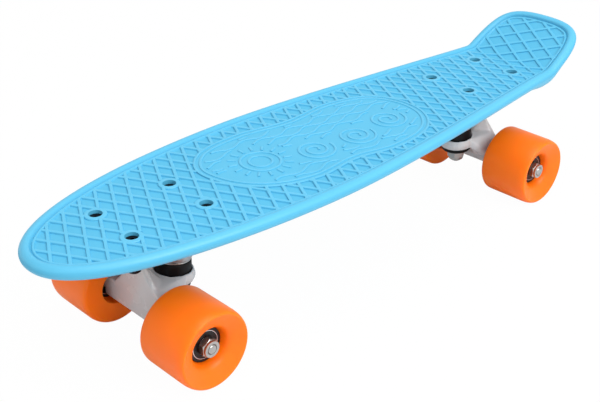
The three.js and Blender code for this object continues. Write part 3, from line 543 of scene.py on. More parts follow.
points, sides = walls(np.array(panel), [(inset, FLOOR_OVER + height) for inset, height in PANEL_EDGE])
foot = tuple(range(len(panel)))
top = tuple(range(len(points) - len(panel), len(points)))
combine(deck, mesh_object("middle_panel", points, [foot[::-1], top, *sides]), "UNION")
sea = inset_loop(panel, SEA_INSET)[:-1]
clear_places = [(*SUN, SUN_CLEAR)] + [(x - 1, y, CURL_CLEAR) for x, y in CURLS]
sun_lines = [circle(*SUN, radius) for radius in SUN_RINGS]
for ray in range(SUN_RAYS):
    angle = ray * 2 * math.pi / SUN_RAYS
    sun_lines.append([(SUN[0] + r * math.cos(angle), SUN[1] + r * math.sin(angle)) for r in RAY_REACH])
waves = [[], []]
for row in range(WAVES):
    x = np.linspace(*SEA_ENDS, 160)
    roll = np.sin(2 * math.pi * (x / WAVE_LENGTH + WAVE_SHIFT * row))
    crest = np.column_stack([x, SEA_SIDE + WAVE_PITCH * row + WAVE_HEIGHT * roll])
    free = inside(crest, sea)
    for clear_x, clear_y, clear in clear_places:
        free &= np.hypot(crest[:, 0] - clear_x, crest[:, 1] - clear_y) > clear
    waves[row % 2] += runs(crest, free)
borders = [[inset_loop(panel, inset)] for inset in BORDER_INSETS]
for group in [*borders, sun_lines, *waves, *[[curl(x, y)] for x, y in CURLS]]:
    raised_ribs(group, FLOOR_OVER + PANEL_OVER, Foot_Width=2.6, Top_Width=1.7, Height=RELIEF_HEIGHT, Sunk=0.4,
                Edge_Radius=0.45, Step=1.8)

# Bosses round the bolts, moulded on the floor. With them the deck's upper side is whole, so it is bent here.
BOSS_PROFILE = [(0, 0.4), (8.6, 0.4), (8.4, 1.3), (8.2, 2.4), (7.9, 2.8), (7.5, 3.0), (0, 3.05)]
POLISH_AND_PAINTED_SHADE_START = 0.1  # over the lattice's floor
RIM_OVER = 3.5  # only the rim reaches higher
# The rim's lower value also darkens its tint towards the floor's blue: painted shade on the rim.
RIM_POLISH_AND_PAINTED_SHADE = 0.65
UNDERSIDE_POLISH_AND_TINT = 0.6


def shape_of(thing):
    """An object's points and faces."""
    points = np.zeros(len(thing.data.vertices) * 3, np.float32)
    thing.data.vertices.foreach_get("co", points)
    return points.reshape(-1, 3).astype(float), [tuple(face.vertices) for face in thing.data.polygons]


def turned(profile, sides=64):
    """Points and faces of a body turned about Z, from a closed loop of (radius, height). A third number, the
    distance across the flats, keeps that ring within a hexagon."""
    angles = np.arange(sides) * 2 * math.pi / sides
    to_flat = np.cos((angles + math.pi / 6) % (math.pi / 3) - math.pi / 6)
    points = []
    for radius, height, *across in profile:
        reach = np.minimum(radius, across[0] / 2 / to_flat) if across else np.full(sides, radius)
        points.append(np.stack([reach * np.cos(angles), reach * np.sin(angles), np.full(sides, height)], 1))
    faces = []
    for ring in range(len(profile)):
        after = (ring + 1) % len(profile)
        if profile[ring][0] or profile[after][0]:
            faces += band(ring * sides, after * sides, sides)
    return np.vstack(points), faces


def joined(shapes):
    """Several (points, faces) as one."""
    points, faces, start = [], [], 0
    for shape_points, shape_faces in shapes:
        points.append(shape_points)
        faces += [tuple(i + start for i in face) for face in shape_faces]
        start += len(shape_points)
    return np.vstack(points), faces


def at_bolts(shape):
    """A copy of a shape at each of the eight bolts."""
    return joined([(shape[0] + [x, y, 0], shape[1]) for x, y in bolt_places])


combine(deck, mesh_object("bosses", *at_bolts(turned(BOSS_PROFILE, 48))), "UNION")
flat_points = shape_of(deck)[0]
over = flat_points[:, 2]
# How polished the mould is, which also sets the tint: not at all on the lattice's floor, fully on the ribs,
# and less on the rim and the underside. The floor's deeper tint and the rim's are painted shade.
polish = np.clip(over - FLOOR_OVER - POLISH_AND_PAINTED_SHADE_START, 0, 1)
polish[over > RIM_OVER] = RIM_POLISH_AND_PAINTED_SHADE
polish[over < 0] = UNDERSIDE_POLISH_AND_TINT
bent_points = fold(flat_points)
deck.data.vertices.foreach_set("co", bent_points.astype(np.float32).ravel())
top_points = KDTree(len(bent_points))
for index, point in enumerate(bent_points):
    top_points.insert(point, index)
top_points.balance()

# Underside: a hollow pad with bolt posts over each truck, and stiffening ribs along and across the deck.
# They are moulded with it and stand straight down, so they don't follow its bends.
PAD_FOOT_UNDER = 17.3
PAD_HALF_LENGTH = 42.0
PAD_HALF_WIDTH = 29.0
PAD_CORNER = 6.0
PAD_WALL = 3.2
POCKET_CORNER = 2.5
POST_RADIUS = 6.5
INTO_SKIN = 1.2
RIB_HALF_THICKNESS = 1.4
RIB_FOOT = 13.8
RIB_ARCH = 5.5
RIB_REACH = 139.2
RIB_SIDEWAYS = 0.72 * PAD_HALF_WIDTH
NOSE_RIB_START = PATTERN_HALF + PAD_HALF_LENGTH - 1.6
NOSE_RIB_END = 257.3
NOSE_RIB_RISE = 7.5
CROSS_RIB_SPACING = 46.0
CROSS_RIB_FOOT = 7.8
CROSS_RIB_INSET = 10.3
rib_top = INTO_SKIN - SKIN_UNDER


def straight(shape):
    """A shape on the deck that doesn't follow its bends, in metres."""
    return (shape[0] + [BOARD_SHIFT, 0, RIM_MIDDLE]) * MM, shape[1]


def rounded_rectangle(x, y, half_x, half_y, corner, steps=5):
    """Points round a rectangle with rounded corners, about a middle."""
    outline = []
    for quarter, (sx, sy) in enumerate([(1, 1), (-1, 1), (-1, -1), (1, -1)]):
        for step in range(steps + 1):
            angle = (quarter + step / steps) * math.pi / 2
            outline.append((x + sx * (half_x - corner) + corner * math.cos(angle),
                            y + sy * (half_y - corner) + corner * math.sin(angle)))
    return outline


def prism(outline, low, high):
    """Points and faces of a flat outline raised from low to high."""
    count = len(outline)
    points = [(x, y, z) for z in (low, high) for x, y in outline]
    faces = [tuple(range(count))[::-1], tuple(range(count, 2 * count)), *band(0, count, count)]
    return np.array(points), faces


def along_rib(profile, y):
    """A rib along the deck, from its side view in x and height."""
    points, faces = prism(profile, -RIB_HALF_THICKNESS, RIB_HALF_THICKNESS)
    return np.stack([points[:, 0], points[:, 2] + y, points[:, 1]], 1), faces


pad_blocks, pockets = [], []
pocket_half_x = (PAD_HALF_LENGTH - PAD_WALL - RIB_HALF_THICKNESS) / 2
pocket_half_y = (PAD_HALF_WIDTH - PAD_WALL - RIB_HALF_THICKNESS) / 2
for end in (1, -1):
    pad = rounded_rectangle(end * PATTERN_HALF, 0, PAD_HALF_LENGTH, PAD_HALF_WIDTH, PAD_CORNER)
    pad_blocks.append(prism(pad, -PAD_FOOT_UNDER, rib_top))
    for sx, sy in ((1, 1), (-1, 1), (-1, -1), (1, -1)):
        middle_x = end * PATTERN_HALF + sx * (pocket_half_x + RIB_HALF_THICKNESS)
        middle_y = sy * (pocket_half_y + RIB_HALF_THICKNESS)
        pocket = rounded_rectangle(middle_x, middle_y, pocket_half_x, pocket_half_y, POCKET_CORNER)
        pockets.append(prism(pocket, -PAD_FOOT_UNDER - 2, -SKIN_UNDER))
post_foot = -PAD_FOOT_UNDER - 4
posts = at_bolts(turned([(0, post_foot), (POST_RADIUS, post_foot), (POST_RADIUS, 0), (0, 0)], 32))
pads = mesh_object("pads", *joined(pad_blocks))
hollows = mesh_object("pockets", *joined(pockets))
combine(hollows, mesh_object("posts", *posts), "DIFFERENCE")
combine(pads, hollows, "DIFFERENCE")
pads.data.vertices.foreach_set("co", straight(shape_of(pads))[0].astype(np.float32).ravel())
combine(deck, pads, "UNION")

arch_line = [(x, -RIB_FOOT + RIB_ARCH * math.cos(x / RIB_REACH * math.pi / 2) ** 0.8)
             for x in np.linspace(-RIB_REACH, RIB_REACH, 33)]
arch_line += [(RIB_REACH, rib_top), (-RIB_REACH, rib_top)]
nose_line = [(NOSE_RIB_START, -RIB_FOOT), (NOSE_RIB_END, NOSE_RIB_RISE - RIB_FOOT)]
nose_line += [(NOSE_RIB_END, rib_top), (NOSE_RIB_START, rib_top)]
long_ribs = [along_rib(line, y) for line in (arch_line, nose_line) for y in (-RIB_SIDEWAYS, 0, RIB_SIDEWAYS)]
combine(deck, mesh_object("long_ribs", *straight(joined(long_ribs))), "UNION")
cross_ribs = []
for number in range(-2, 3):
    x = number * CROSS_RIB_SPACING
    half = np.interp(x, outline[:half_count, 0][::-1], outline[:half_count, 1][::-1]) - CROSS_RIB_INSET
    corners = [(x + sx * RIB_HALF_THICKNESS, sy * half) for sx, sy in ((-1, -1), (1, -1), (1, 1), (-1, 1))]
    cross_ribs.append(prism(corners, -CROSS_RIB_FOOT, rib_top))
combine(deck, mesh_object("cross_ribs", *straight(joined(cross_ribs))), "UNION")

# Rooms for the bolts: a clearance hole, a seat for the head and a counterbore, from below.
BOLT_ROOM = [(0, -PAD_FOOT_UNDER - 3), (2.75, -PAD_FOOT_UNDER - 3), (2.75, -2.65), (4.95, -0.45),
             (4.95, 2.75), (5.2, 3.1), (5.2, 7), (0, 7)]
combine(deck, mesh_object("bolt_rooms", *straight(at_bolts(turned(BOLT_ROOM, 40)))), "DIFFERENCE")
smoothed(deck.data)
deck.data.materials.clear()
deck.data.materials.append(deck_plastic)
# This attribute also carries the painted shade of the floor's and the rim's tints.
deck.data.attributes.new("polish", "FLOAT", "POINT").data.foreach_set(
    "value", [polish[top_points.find(v.co)[1]] for v in deck.data.vertices])
deck.modifiers.new("evened_normals", "WEIGHTED_NORMAL").keep_sharp = True
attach(deck, "deck_assembly")
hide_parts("deck")

# Deck bolts and nuts: eight black countersunk screws with hexagon sockets, from the bosses down through the
# truck's baseplate, each with a hexagon nut under the plate. They are steel, with rolled threads and a black
# oxide finish.
BOLT_HEAD_TOP = 101.5
BOLT_LENGTH = 25.4
BOLT_RADIUS = 2.45
BOLT_ROOT_RADIUS = 2.1
BOLT_THREAD_TOP = -12.2
BOLT_PITCH = 0.8
SOCKET_ACROSS = 3.0
NUT_TOP = 80.5
NUT_HEIGHT = 3.9
NUT_ACROSS = 8.0
NUT_FACE = 0.95  # of the distance across the flats
CHAMFER_SLOPE = 0.577
THREAD_DEPTH = 0.42  # of the pitch


def thread_tree():
    """Winds a V-shaped thread up from the origin."""
    tree, given = new_tree("wound_thread", "Thread", Seed_Mesh="Geometry", Radius="Float", Pitch="Float",
                           Length="Float", Depth="Float", Steel="Material")
    turns = add(tree, "ShaderNodeMath", {"operation": "DIVIDE"}, {0: given["Length"], 1: given["Pitch"]})
    coil = add(tree, "GeometryNodeCurveSpiral", (), {
        "Rotations": turns, "Start Radius": given["Radius"], "End Radius": given["Radius"],
        "Height": given["Length"]}, Resolution=28)
    upright = add(tree, "GeometryNodeSetCurveNormal", {"mode": "Z_UP"}, {"Curve": coil})
    tooth = add(tree, "GeometryNodeCurvePrimitiveCircle", {"mode": "RADIUS"}, {"Radius": given["Depth"]},
                Resolution=4)
    swept = add(tree, "GeometryNodeCurveToMesh", (), {
        "Curve": upright, "Profile Curve": tooth}, Fill_Caps=True)
    end_tree(tree, swept, given["Steel"])
    return tree


def placed_tree():
    """Puts a copy of a fastener at each point, each turned to an angle of its own."""
    tree, given = new_tree("placed_fasteners", "Fasteners", Places="Geometry", Fastener="Object", Seed="Int",
                           Steel="Material")
    source = add(tree, "GeometryNodeObjectInfo", {"transform_space": "ORIGINAL"}, {
        "Object": given["Fastener"]})
    turn = add(tree, "FunctionNodeRandomValue", {"data_type": "FLOAT_VECTOR"}, {"Seed": given["Seed"]},
               in0=(0, 0, 0), in1=(0, 0, math.pi / 3))
    spread = add(tree, "GeometryNodeInstanceOnPoints", (), {
        "Points": given["Places"], "Instance": source.outputs["Geometry"], "Rotation": turn})
    end_tree(tree, spread, given["Steel"])
    return tree


wound_thread = thread_tree()
placed_fasteners = placed_tree()


def thread(radius, low, high, pitch):
    """Points and faces of a thread's coil on a rod of that radius, between two heights."""
    depth = pitch * THREAD_DEPTH
    coil = grown(path_mesh("thread", [[(0, 0), (1, 0)]]), wound_thread,
                 Radius=radius - depth, Pitch=pitch, Length=high - low - 2 * depth, Depth=depth)
    points, faces = shape_of(coil)
    bpy.data.objects.remove(coil)
    return points + [0, 0, low + depth], faces


def hexagon(low, high, across):
    """The outside of a hexagon nut or head, with turned chamfers on both faces."""
    corner = across / 2 / math.cos(math.pi / 6)
    face = across / 2 * NUT_FACE
    chamfer = [(face + (corner - face) * s, (corner - face) * s * CHAMFER_SLOPE)
               for s in np.linspace(0, 1, 6)]
    return [(r, low + d, across) for r, d in chamfer] + [(r, high - d, across) for r, d in chamfer[::-1]]


def surface(name, grain, gloss, bump, clouds=None, tints=None, patchy=False, **values):
    """A material whose grain breaks up its gloss and dents it, and whose tint drifts in clouds. Grain and
    clouds are (cells per millimetre, detail), gloss two roughnesses, and bump (strength, depth). A patchy
    gloss follows the clouds. Real grain is finer, and is drawn coarser here so that it shows."""
    material, tree = new_material(name)
    place = add(tree, "ShaderNodeTexCoord").outputs["Object"]
    fine = add(tree, "ShaderNodeTexNoise", (), {"Vector": place}, Scale=grain[0] / MM, Detail=grain[1])
    links = {"Normal": add(tree, "ShaderNodeBump", (), {"Height": fine}, Strength=bump[0], Distance=bump[1])}
    coarse = fine
    if clouds:
        coarse = add(tree, "ShaderNodeTexNoise", (), {"Vector": place}, Scale=clouds[0] / MM,
                     Detail=clouds[1])
        links["Base Color"] = add(tree, "ShaderNodeMix", {"data_type": "RGBA"}, {"Factor": coarse},
                                  A=linear(tints[0]), B=linear(tints[1]))
    links["Roughness"] = add(tree, "ShaderNodeMapRange", (), {"Value": coarse if patchy else fine},
                             To_Min=gloss[0], To_Max=gloss[1])
    shader = add(tree, "ShaderNodeBsdfPrincipled", (), links, **values)
    add(tree, "ShaderNodeOutputMaterial", (), {"Surface": shader})
    return material


def steel(name, dark, light, roughness):
    """A worked metal: its tint drifts a little over the piece, and fine tool marks break up its gloss."""
    return surface(name, (2.4, 3.0), (roughness * 0.75, roughness * 1.3), (0.15, 0.0001), (0.14, 2.0),
                   (dark, light), Metallic=1.0)


def finish(name, shape, material, slot, body, *nodes):
    """A finished piece, from a shape in millimetres, on its body and in place of its plain solids."""
    piece = mesh_object(name, shape[0] * MM, shape[1])
    piece.data.materials.append(material)
    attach(piece, body)
    if nodes:
        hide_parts(*nodes)


# Black oxide on steel: nearly black, with a dull metallic glint from an oiled surface.
black_steel = steel("black_oxide_steel", "#1d1d20", "#2c2c30", 0.36)
bolt_shank = turned([
    (0, -BOLT_LENGTH), (1.7, -BOLT_LENGTH), (BOLT_ROOT_RADIUS, -BOLT_LENGTH + 0.5), (BOLT_ROOT_RADIUS, -12.4),
    (BOLT_RADIUS, -12.0), (BOLT_RADIUS, -2.5), (4.7, -0.35), (4.7, -0.15), (4.55, 0), (1.9, 0),
    (1.75, -0.1, SOCKET_ACROSS), (1.75, -1.5, SOCKET_ACROSS), (0, -1.8)], 48)
bolt = joined([bolt_shank, thread(BOLT_RADIUS, -BOLT_LENGTH + 0.4, BOLT_THREAD_TOP, BOLT_PITCH)])
bolt_nut = turned([(3.1, -NUT_HEIGHT), *hexagon(-NUT_HEIGHT, 0, NUT_ACROSS), (3.1, 0), (2.6, -0.5),
                   (2.6, -NUT_HEIGHT + 0.5)], 72)
spots = [f"{row}_{pair}" for row in ("outer", "inner") for pair in ("left", "right")]
for name, kind, shape, top, seed in (("deck_bolts", "bolt", bolt, BOLT_HEAD_TOP, 3),
                                     ("deck_bolt_nuts", "bolt_nut", bolt_nut, NUT_TOP, 8)):
    fastener = mesh_object("fastener", *shape)
    places = path_mesh(name, [[(x + BOARD_SHIFT, y)] for x, y in bolt_places])
    points, faces = shape_of(grown(places, placed_fasteners, Fastener=fastener, Seed=seed, Steel=black_steel))
    bpy.data.objects.remove(fastener)
    bpy.data.objects.remove(places)
    finish(name, (points + [0, 0, top], faces), black_steel, "black_steel", "deck_assembly",
           *[f"{end}_{kind}_{spot}" for end in ("front", "rear") for spot in spots])

# Baseplates: aluminium castings under the deck's truck pads, with a slanting boss for the kingpin, a boss
# for the pivot cup and a spine between them. They are left as cast, and tumbled, so every edge is soft.
CAST_GRAIN = 0.6  # cell of the remesh that rounds a casting's edges


def ease(thing, name, factor, rounds, group=""):
    """Smooths an object's points towards their neighbours, in a group of them or all over."""
    easing = thing.modifiers.new(name, "SMOOTH")
    easing.factor = factor
    easing.iterations = rounds
    easing.vertex_group = group
    settle(thing)


def casting(node, material, body, blending=None):
    """A plain solid with its edges and inner corners rounded, as a sand or die casting has them. Where
    blending, a function of place, is near 1, its faces run into each other."""
    shell = bmesh.new()
    shell.from_mesh(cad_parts[node].data)
    bmesh.ops.remove_doubles(shell, verts=shell.verts, dist=1e-6)
    mesh = bpy.data.meshes.new(f"{node}_casting")
    shell.to_mesh(mesh)
    shell.free()
    cast = new_object(f"{node}_casting", mesh)
    skin = cast.modifiers.new("skin", "REMESH")
    skin.mode = "VOXEL"
    skin.voxel_size = CAST_GRAIN * MM
    ease(cast, "easing", 0.5, 5)
    if blending:
        share = blending(shape_of(cast)[0] / MM)
        group = cast.vertex_groups.new(name="blended")
        for index in np.flatnonzero(share > 0):
            group.add([int(index)], float(share[index]), "REPLACE")
        ease(cast, "blending", 0.6, 45, "blended")
    cast.data.shade_smooth()
    cast.data.materials.clear()
    cast.data.materials.append(material)
    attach(cast, body)
    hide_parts(node)


# Cast aluminium: a pale grey metal with a fine, even, sandy grain that keeps its reflections soft.
cast_silver = surface("tumbled_cast_aluminium", (0.9, 4.0), (0.34, 0.56), (0.35, 0.00015), (0.06, 2.0),
                      ("#a3a4a6", "#bfc0c1"), Metallic=1.0)
for end in ("front", "rear"):
    casting(f"{end}_baseplate", cast_silver, "deck_assembly")

# Kingpins: steel bolts that hold each truck together, hung head up in the baseplate and leaning inward. On
# each are a cup washer, the upper and lower bushings with the hanger's web between them, a washer and a
# domed lock nut.
KINGPIN_IN = 15.3
KINGPIN_LEAN = math.radians(5)
SEAT_Z = 50.0
KINGPIN_TAIL = -25.7
KINGPIN_HEAD = 22.8
KINGPIN_RADIUS = 4.76
HEAD_HEIGHT = 5.3
KINGPIN_ACROSS = 14.3
LOCK_NUT_TOP = -15.2
LOCK_NUT_FOOT = -21.4
BUSHING_BORE = 5.1
BUSHING_EDGE = 0.3
UPPER_TOP = 8.3
UPPER_FOOT = -3.7
LOWER_TOP = -6.8
LOWER_FOOT = -13.4
truck_places = {
    "front": Matrix.Translation((PATTERN_HALF + BOARD_SHIFT, 0, 0)),
    "rear": Matrix.Translation((BOARD_SHIFT - PATTERN_HALF, 0, 0)) @ Matrix.Rotation(math.pi, 4, "Z"),
}
kingpin_place = Matrix.Translation((-KINGPIN_IN, 0, SEAT_Z)) @ Matrix.Rotation(-KINGPIN_LEAN, 4, "Y")


def put(points, place):
    """Points moved by a matrix."""
    return np.column_stack([points, np.ones(len(points))]) @ np.array(place).T[:, :3]


def moved(shape, place):
    """A shape moved by a matrix."""
    return put(shape[0], place), shape[1]


def rounded_profile(corners, steps=4):
    """A closed profile from (radius, height, rounding) corners."""
    line = []
    for i, (r, z, rounding) in enumerate(corners):
        here = np.array((r, z))
        before, after = (np.array(corners[(i + k) % len(corners)][:2]) - here for k in (-1, 1))
        if not rounding:
            line.append((r, z))
            continue
        enter = here + before / np.linalg.norm(before) * rounding
        leave = here + after / np.linalg.norm(after) * rounding
        for s in np.linspace(0, 1, steps + 1):
            line.append(tuple((1 - s) ** 2 * enter + 2 * s * (1 - s) * here + s * s * leave))
    return line


# Zinc on steel: a bright neutral grey, with soft tool marks.
zinc_steel = steel("bright_zinc_plated_steel", "#9fa09e", "#b9bab8", 0.3)
# Black urethane rubber: deep black with a waxy, broad sheen.
black_urethane = surface("black_urethane_rubber", (0.7, 3.0), (0.4, 0.6), (0.2, 0.0001),
                         Base_Color=linear("#080808"), IOR=1.5, Specular_IOR_Level=0.2)

shank = turned([(0, KINGPIN_TAIL), (3.9, KINGPIN_TAIL), (4.4, KINGPIN_TAIL + 0.6), (4.4, -8),
                (KINGPIN_RADIUS, -7.5), (KINGPIN_RADIUS, KINGPIN_HEAD + 0.5), (0, KINGPIN_HEAD + 0.5)], 48)
head = turned([(0, KINGPIN_HEAD), *hexagon(KINGPIN_HEAD, KINGPIN_HEAD + HEAD_HEIGHT, KINGPIN_ACROSS),
               (0, KINGPIN_HEAD + HEAD_HEIGHT)], 72)
steel_pieces = {
    "kingpin": joined([shank, head, thread(KINGPIN_RADIUS, KINGPIN_TAIL + 0.5, -8, 1.2)]),
    "kingpin_nut": turned([
        (5.1, -15.7), (5.6, LOCK_NUT_TOP), *hexagon(LOCK_NUT_FOOT, LOCK_NUT_TOP, KINGPIN_ACROSS)[::-1],
        (6.75, LOCK_NUT_FOOT), (6.75, -22.9), (6.5, -23.6), (6.0, -24.05), (5.4, -24.2), (5.1, -23.9)], 72),
    "upper_washer": turned(rounded_profile([(5.1, 8.6, 0.2), (13.3, 8.6, 0.4), (13.3, 9.8, 0.4),
                                            (5.1, 9.8, 0.2)])),
    "lower_washer": turned(rounded_profile([(5.1, -14.9, 0.2), (9.8, -14.9, 0.45), (9.8, -13.7, 0.45),
                                            (5.1, -13.7, 0.2)])),
}
barrel = [(13.2 + 0.3 * math.sin((z - UPPER_FOOT) / (UPPER_TOP - UPPER_FOOT) * math.pi), z)
          for z in np.linspace(-2.6, 7.2, 9)]
upper_bushing = turned([
    (BUSHING_BORE, UPPER_FOOT + BUSHING_EDGE), (BUSHING_BORE + BUSHING_EDGE, UPPER_FOOT), (12.2, UPPER_FOOT),
    (12.9, UPPER_FOOT + BUSHING_EDGE), *barrel, (12.9, UPPER_TOP - BUSHING_EDGE), (12.2, UPPER_TOP),
    (BUSHING_BORE + BUSHING_EDGE, UPPER_TOP), (BUSHING_BORE, UPPER_TOP - BUSHING_EDGE)])
lower_bushing = turned([
    (BUSHING_BORE, LOWER_FOOT + BUSHING_EDGE), (BUSHING_BORE + BUSHING_EDGE, LOWER_FOOT), (12.0, LOWER_FOOT),
    (12.8, LOWER_FOOT + BUSHING_EDGE), (13.25, -12.5), (13.4, -11.6), (13.4, -10.3), (13.3, -9.95),
    (13.0, -9.8), (10.3, -9.8), (10.3, -8.3), (10.3, -7.2), (9.9, LOWER_TOP),
    (BUSHING_BORE + BUSHING_EDGE, LOWER_TOP), (BUSHING_BORE, LOWER_TOP - BUSHING_EDGE)])
for end, truck_place in truck_places.items():
    line = truck_place @ kingpin_place
    for name, shape in steel_pieces.items():
        finish(f"{end}_{name}_turned", moved(shape, line), zinc_steel, "zinc_steel", "deck_assembly",
               f"{end}_{name}")
    for name, shape, deck_side, truck_side in (("upper_bushing", upper_bushing, UPPER_TOP, UPPER_FOOT),
                                               ("lower_bushing", lower_bushing, LOWER_FOOT, LOWER_TOP)):
        bushing = mesh_object(f"{end}_{name}_moulded", put(shape[0], line) * MM, shape[1])
        bushing.data.materials.append(black_urethane)
        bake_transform(bushing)
        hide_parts(f"{end}_{name}")

# Pivot cups: moulded in black nylon and pressed into the baseplates. The hangers' noses turn in them as the
# trucks lean.
PIVOT_MIDDLE = Vector((23.4, 0, 74.8))
PIVOT_LINE = Vector((38.242, 0, 30.03)).normalized()
pivot_place = Matrix.Translation(PIVOT_MIDDLE) @ PIVOT_LINE.to_track_quat("Z", "Y").to_matrix().to_4x4()
# Moulded nylon: black and smooth, with a half-glossy skin off the mould.
black_plastic = surface("moulded_black_nylon", (1.1, 2.0), (0.28, 0.45), (0.12, 0.0001),
                        Base_Color=linear("#0b0b0c"), IOR=1.53, Specular_IOR_Level=0.3)
cup = turned(rounded_profile([(0, 2.1, 0), (6.4, 2.1, 0.8), (6.4, -4.6, 0.3), (8.0, -4.6, 0.3),
                              (8.0, 1.5, 0.5), (6.0, 3.5, 0.5), (0, 3.5, 0)]))
for end, truck_place in truck_places.items():
    finish(f"{end}_pivot_cup_moulded", moved(cup, truck_place @ pivot_place), black_plastic, "black_plastic",
           "deck_assembly", f"{end}_pivot_cup")

# Hangers: one aluminium casting each, painted gloss white. A flat triangular face narrows up to the pivot
# nose, the axle runs through its foot, and flanks run back to the collar that holds the bushings.
COLLAR_KEPT = 17.2
NOSE_KEPT = 9.0
NOSE_LENGTH = 16
FACE_KEPT = 13.6  # outward of the pattern's middle
BEAM_END_KEPT = 39.5


def flank_share(place):
    """How freely each point of a hanger may blend: the collar, the pivot nose, the face and the beam's ends
    keep their form."""
    def share(points):
        """Each point's share, from 0 to 1."""
        local = put(points, place.inverted())
        collar = put(local, kingpin_place.inverted())
        nose = put(local, pivot_place.inverted())
        free = (np.hypot(collar[:, 0], collar[:, 1]) - COLLAR_KEPT) / 4
        by_nose = np.where(nose[:, 2] > -NOSE_LENGTH, (np.hypot(nose[:, 0], nose[:, 1]) - NOSE_KEPT) / 3, 1)
        free = np.minimum(free, by_nose)
        free = np.minimum(free, (FACE_KEPT - local[:, 0]) / 3)
        free = np.minimum(free, (BEAM_END_KEPT - np.abs(local[:, 1])) / 4)
        return np.clip(free, 0, 1)
    return share


# Gloss paint: white with a clear wet highlight and the faint ripple of sprayed paint.
white_paint = surface("gloss_white_sprayed_paint", (0.42, 2.0), (0.2, 0.34), (0.08, 0.0003), (0.045, 4.0),
                      ("#bdbcbd", "#cbcaca"), patchy=True, IOR=1.5, Coat_Weight=0.4, Coat_Roughness=0.08)
for end, truck_place in truck_places.items():
    casting(f"{end}_hanger", white_paint, f"{end}_truck", flank_share(truck_place))

# Axles: zinc-plated steel rods. Each is cast into its hanger, with a rolled thread at both ends for the
# wheels' lock nuts.
AXLE_OUT = 11.07
AXLE_Z = 30.0
AXLE_TIP = 74.6
AXLE_RADIUS = 4
AXLE_THREAD = 8
rod_end = [(3.0, 0), (3.3, 0.25), (3.6, 0.7), (3.6, AXLE_THREAD), (AXLE_RADIUS, AXLE_THREAD + 0.5)]
rod = turned([(0, -AXLE_TIP), *[(r, d - AXLE_TIP) for r, d in rod_end],
              *[(r, AXLE_TIP - d) for r, d in rod_end[::-1]], (0, AXLE_TIP)], 48)
axle_thread = thread(AXLE_RADIUS, AXLE_TIP - AXLE_THREAD, AXLE_TIP - 0.3, 1.0)
other_thread = (axle_thread[0] * [1, -1, -1], axle_thread[1])
axle = joined([rod, axle_thread, other_thread])
along_y = Matrix.Rotation(-math.pi / 2, 4, "X")
axle_places = {end: place @ Matrix.Translation((AXLE_OUT, 0, AXLE_Z)) for end, place in truck_places.items()}
for end, axle_place in axle_places.items():
    finish(f"{end}_axle_rod", moved(axle, axle_place @ along_y), zinc_steel, "zinc_steel", f"{end}_truck",
           f"{end}_axle")

# Wheels: orange urethane cast round a black plastic core, with a flat tread, a rounded outer shoulder and a
# dished face. Two sealed bearings sit in each core, and a lock nut with a nylon collar holds the wheel on
# its axle.
BEARING_SEAT = 42.9
CORE_END = 66.9
BEARING_WIDTH = 7.0
RING_EASE = 0.35
TREAD_RADIUS = 30
AXLE_NUT_ACROSS = 12.7
AXLE_NUT_FOOT = 67.2
AXLE_NUT_TOP = 72.5
tyre_profile = [(13.45, 42.95), (13.6, 42.6), (13.6, 33.0), (14.2, 32.4)]
tyre_profile += flowing([(25.6, 32.4), (27.4, 32.45), (28.9, 33.1), (29.7, 34.2), (TREAD_RADIUS, 36.0)], 5)
tyre_profile += [(TREAD_RADIUS, z) for z in (42, 50, 58, 64)]
tyre_profile += flowing([(TREAD_RADIUS, 68.0), (29.95, 71.0), (29.75, 73.6), (29.35, 75.7), (28.85, 77.1),
                         (28.3, 77.95), (27.6, 78.3)], 5)
tyre_profile += flowing([(27.1, 78.2), (26.2, 77.8), (23.0, 76.3), (19.5, 74.6), (17.0, 73.2), (15.6, 71.9),
                         (14.6, 70.2), (13.9, 68.4), (13.45, 67.0)], 5)
core_profile = rounded_profile([(8.6, 50.2, 0.4), (11.15, 50.2, 0), (11.15, 42.95, 0.3), (13.1, 42.95, 0.3),
                                (13.1, CORE_END, 0.35), (11.15, CORE_END, 0.25), (11.15, 59.6, 0),
                                (8.6, 59.6, 0.4)], 3)
# Cast urethane: a saturated orange, a little translucent, with a satin skin off the lathe.
urethane = surface("cast_orange_urethane", (1.3, 2.0), (0.33, 0.47), (0.08, 0.0001), (0.036, 3.0),
                   ("#ff6c00", "#ff7600"), IOR=1.5, Specular_IOR_Level=0.3, Subsurface_Weight=0.3,
                   Subsurface_Scale=0.02, Subsurface_Radius=(1.0, 0.4, 0.1))
# Bearing steel: ground rings with a bright, clean reflection.
bearing_steel = steel("ground_bearing_steel", "#c6c8cb", "#d9dadc", 0.2)

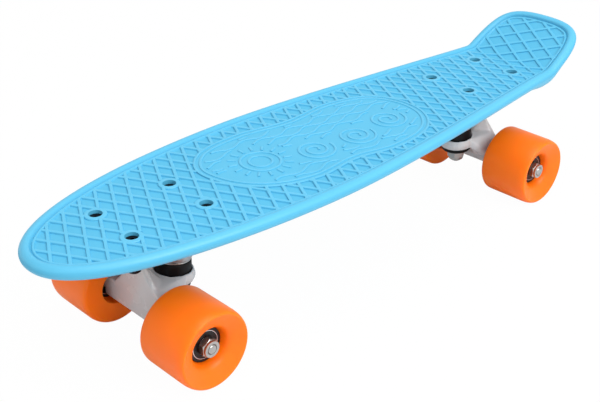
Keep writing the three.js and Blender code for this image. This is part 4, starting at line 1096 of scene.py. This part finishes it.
outer_ring = rounded_profile([(9.75, 0.7, 0), (10.4, 0.7, 0), (10.4, 0, 0.1), (11.0, 0, RING_EASE),
                              (11.0, BEARING_WIDTH, RING_EASE), (10.4, BEARING_WIDTH, 0.1), (10.4, 6.3, 0),
                              (9.75, 6.3, 0)], 3)
inner_ring = rounded_profile([(4.3, 0, 0.25), (5.9, 0, 0.1), (5.9, BEARING_WIDTH, 0.1),
                              (4.3, BEARING_WIDTH, 0.25)], 3)
bearing_rings = joined([turned(outer_ring), turned(inner_ring)])
shield_face = [(5.95, 6.3), (6.3, 6.75), (7.0, 6.75), (7.2, 6.5), (8.0, 6.5), (8.2, 6.75), (9.5, 6.75),
               (9.8, 6.6), (10.35, 6.6)]
shields = turned([(r, BEARING_WIDTH - z) for r, z in shield_face] + shield_face[::-1])
tyre = turned(tyre_profile, 128)
core = turned(core_profile, 96)
axle_nut = turned([(4.75, AXLE_NUT_FOOT), *hexagon(AXLE_NUT_FOOT, AXLE_NUT_TOP, AXLE_NUT_ACROSS),
                   (6.2, AXLE_NUT_TOP), (6.2, 73.95), (6.05, 74.3), (5.7, 74.4), (4.2, 74.4), (3.95, 74.25),
                   (3.85, 73.6), (4.25, 73.2), (4.25, 67.6)], 72)
for end, axle_place in axle_places.items():
    for side, way in (("left", 1), ("right", -1)):
        name = f"{end}_{side}"
        body = f"{name}_wheel"
        spin = Matrix.Translation(axle_place.translation) @ Matrix.Rotation(-way * math.pi / 2, 4, "X")
        finish(f"{name}_tyre_cast", moved(tyre, spin), urethane, "orange_urethane", body, f"{name}_tyre")
        finish(f"{name}_core_moulded", moved(core, spin), black_plastic, "black_plastic", body,
               f"{name}_core")
        for spot, foot, up in (("outer", CORE_END - BEARING_WIDTH, 1),
                               ("inner", BEARING_SEAT + BEARING_WIDTH, -1)):
            bearing = f"{name}_{spot}_bearing"
            seat = spin @ Matrix.Translation((0, 0, foot)) @ Matrix.Diagonal((1, up, up, 1))
            finish(f"{bearing}_rings", moved(bearing_rings, seat), bearing_steel, "bearing_steel", body,
                   bearing)
            finish(f"{bearing}_shields", moved(shields, seat), black_plastic, "black_plastic", body)
        finish(f"{name}_axle_nut_turned", moved(axle_nut, spin), zinc_steel, "zinc_steel", f"{end}_truck",
               f"{name}_axle_nut")
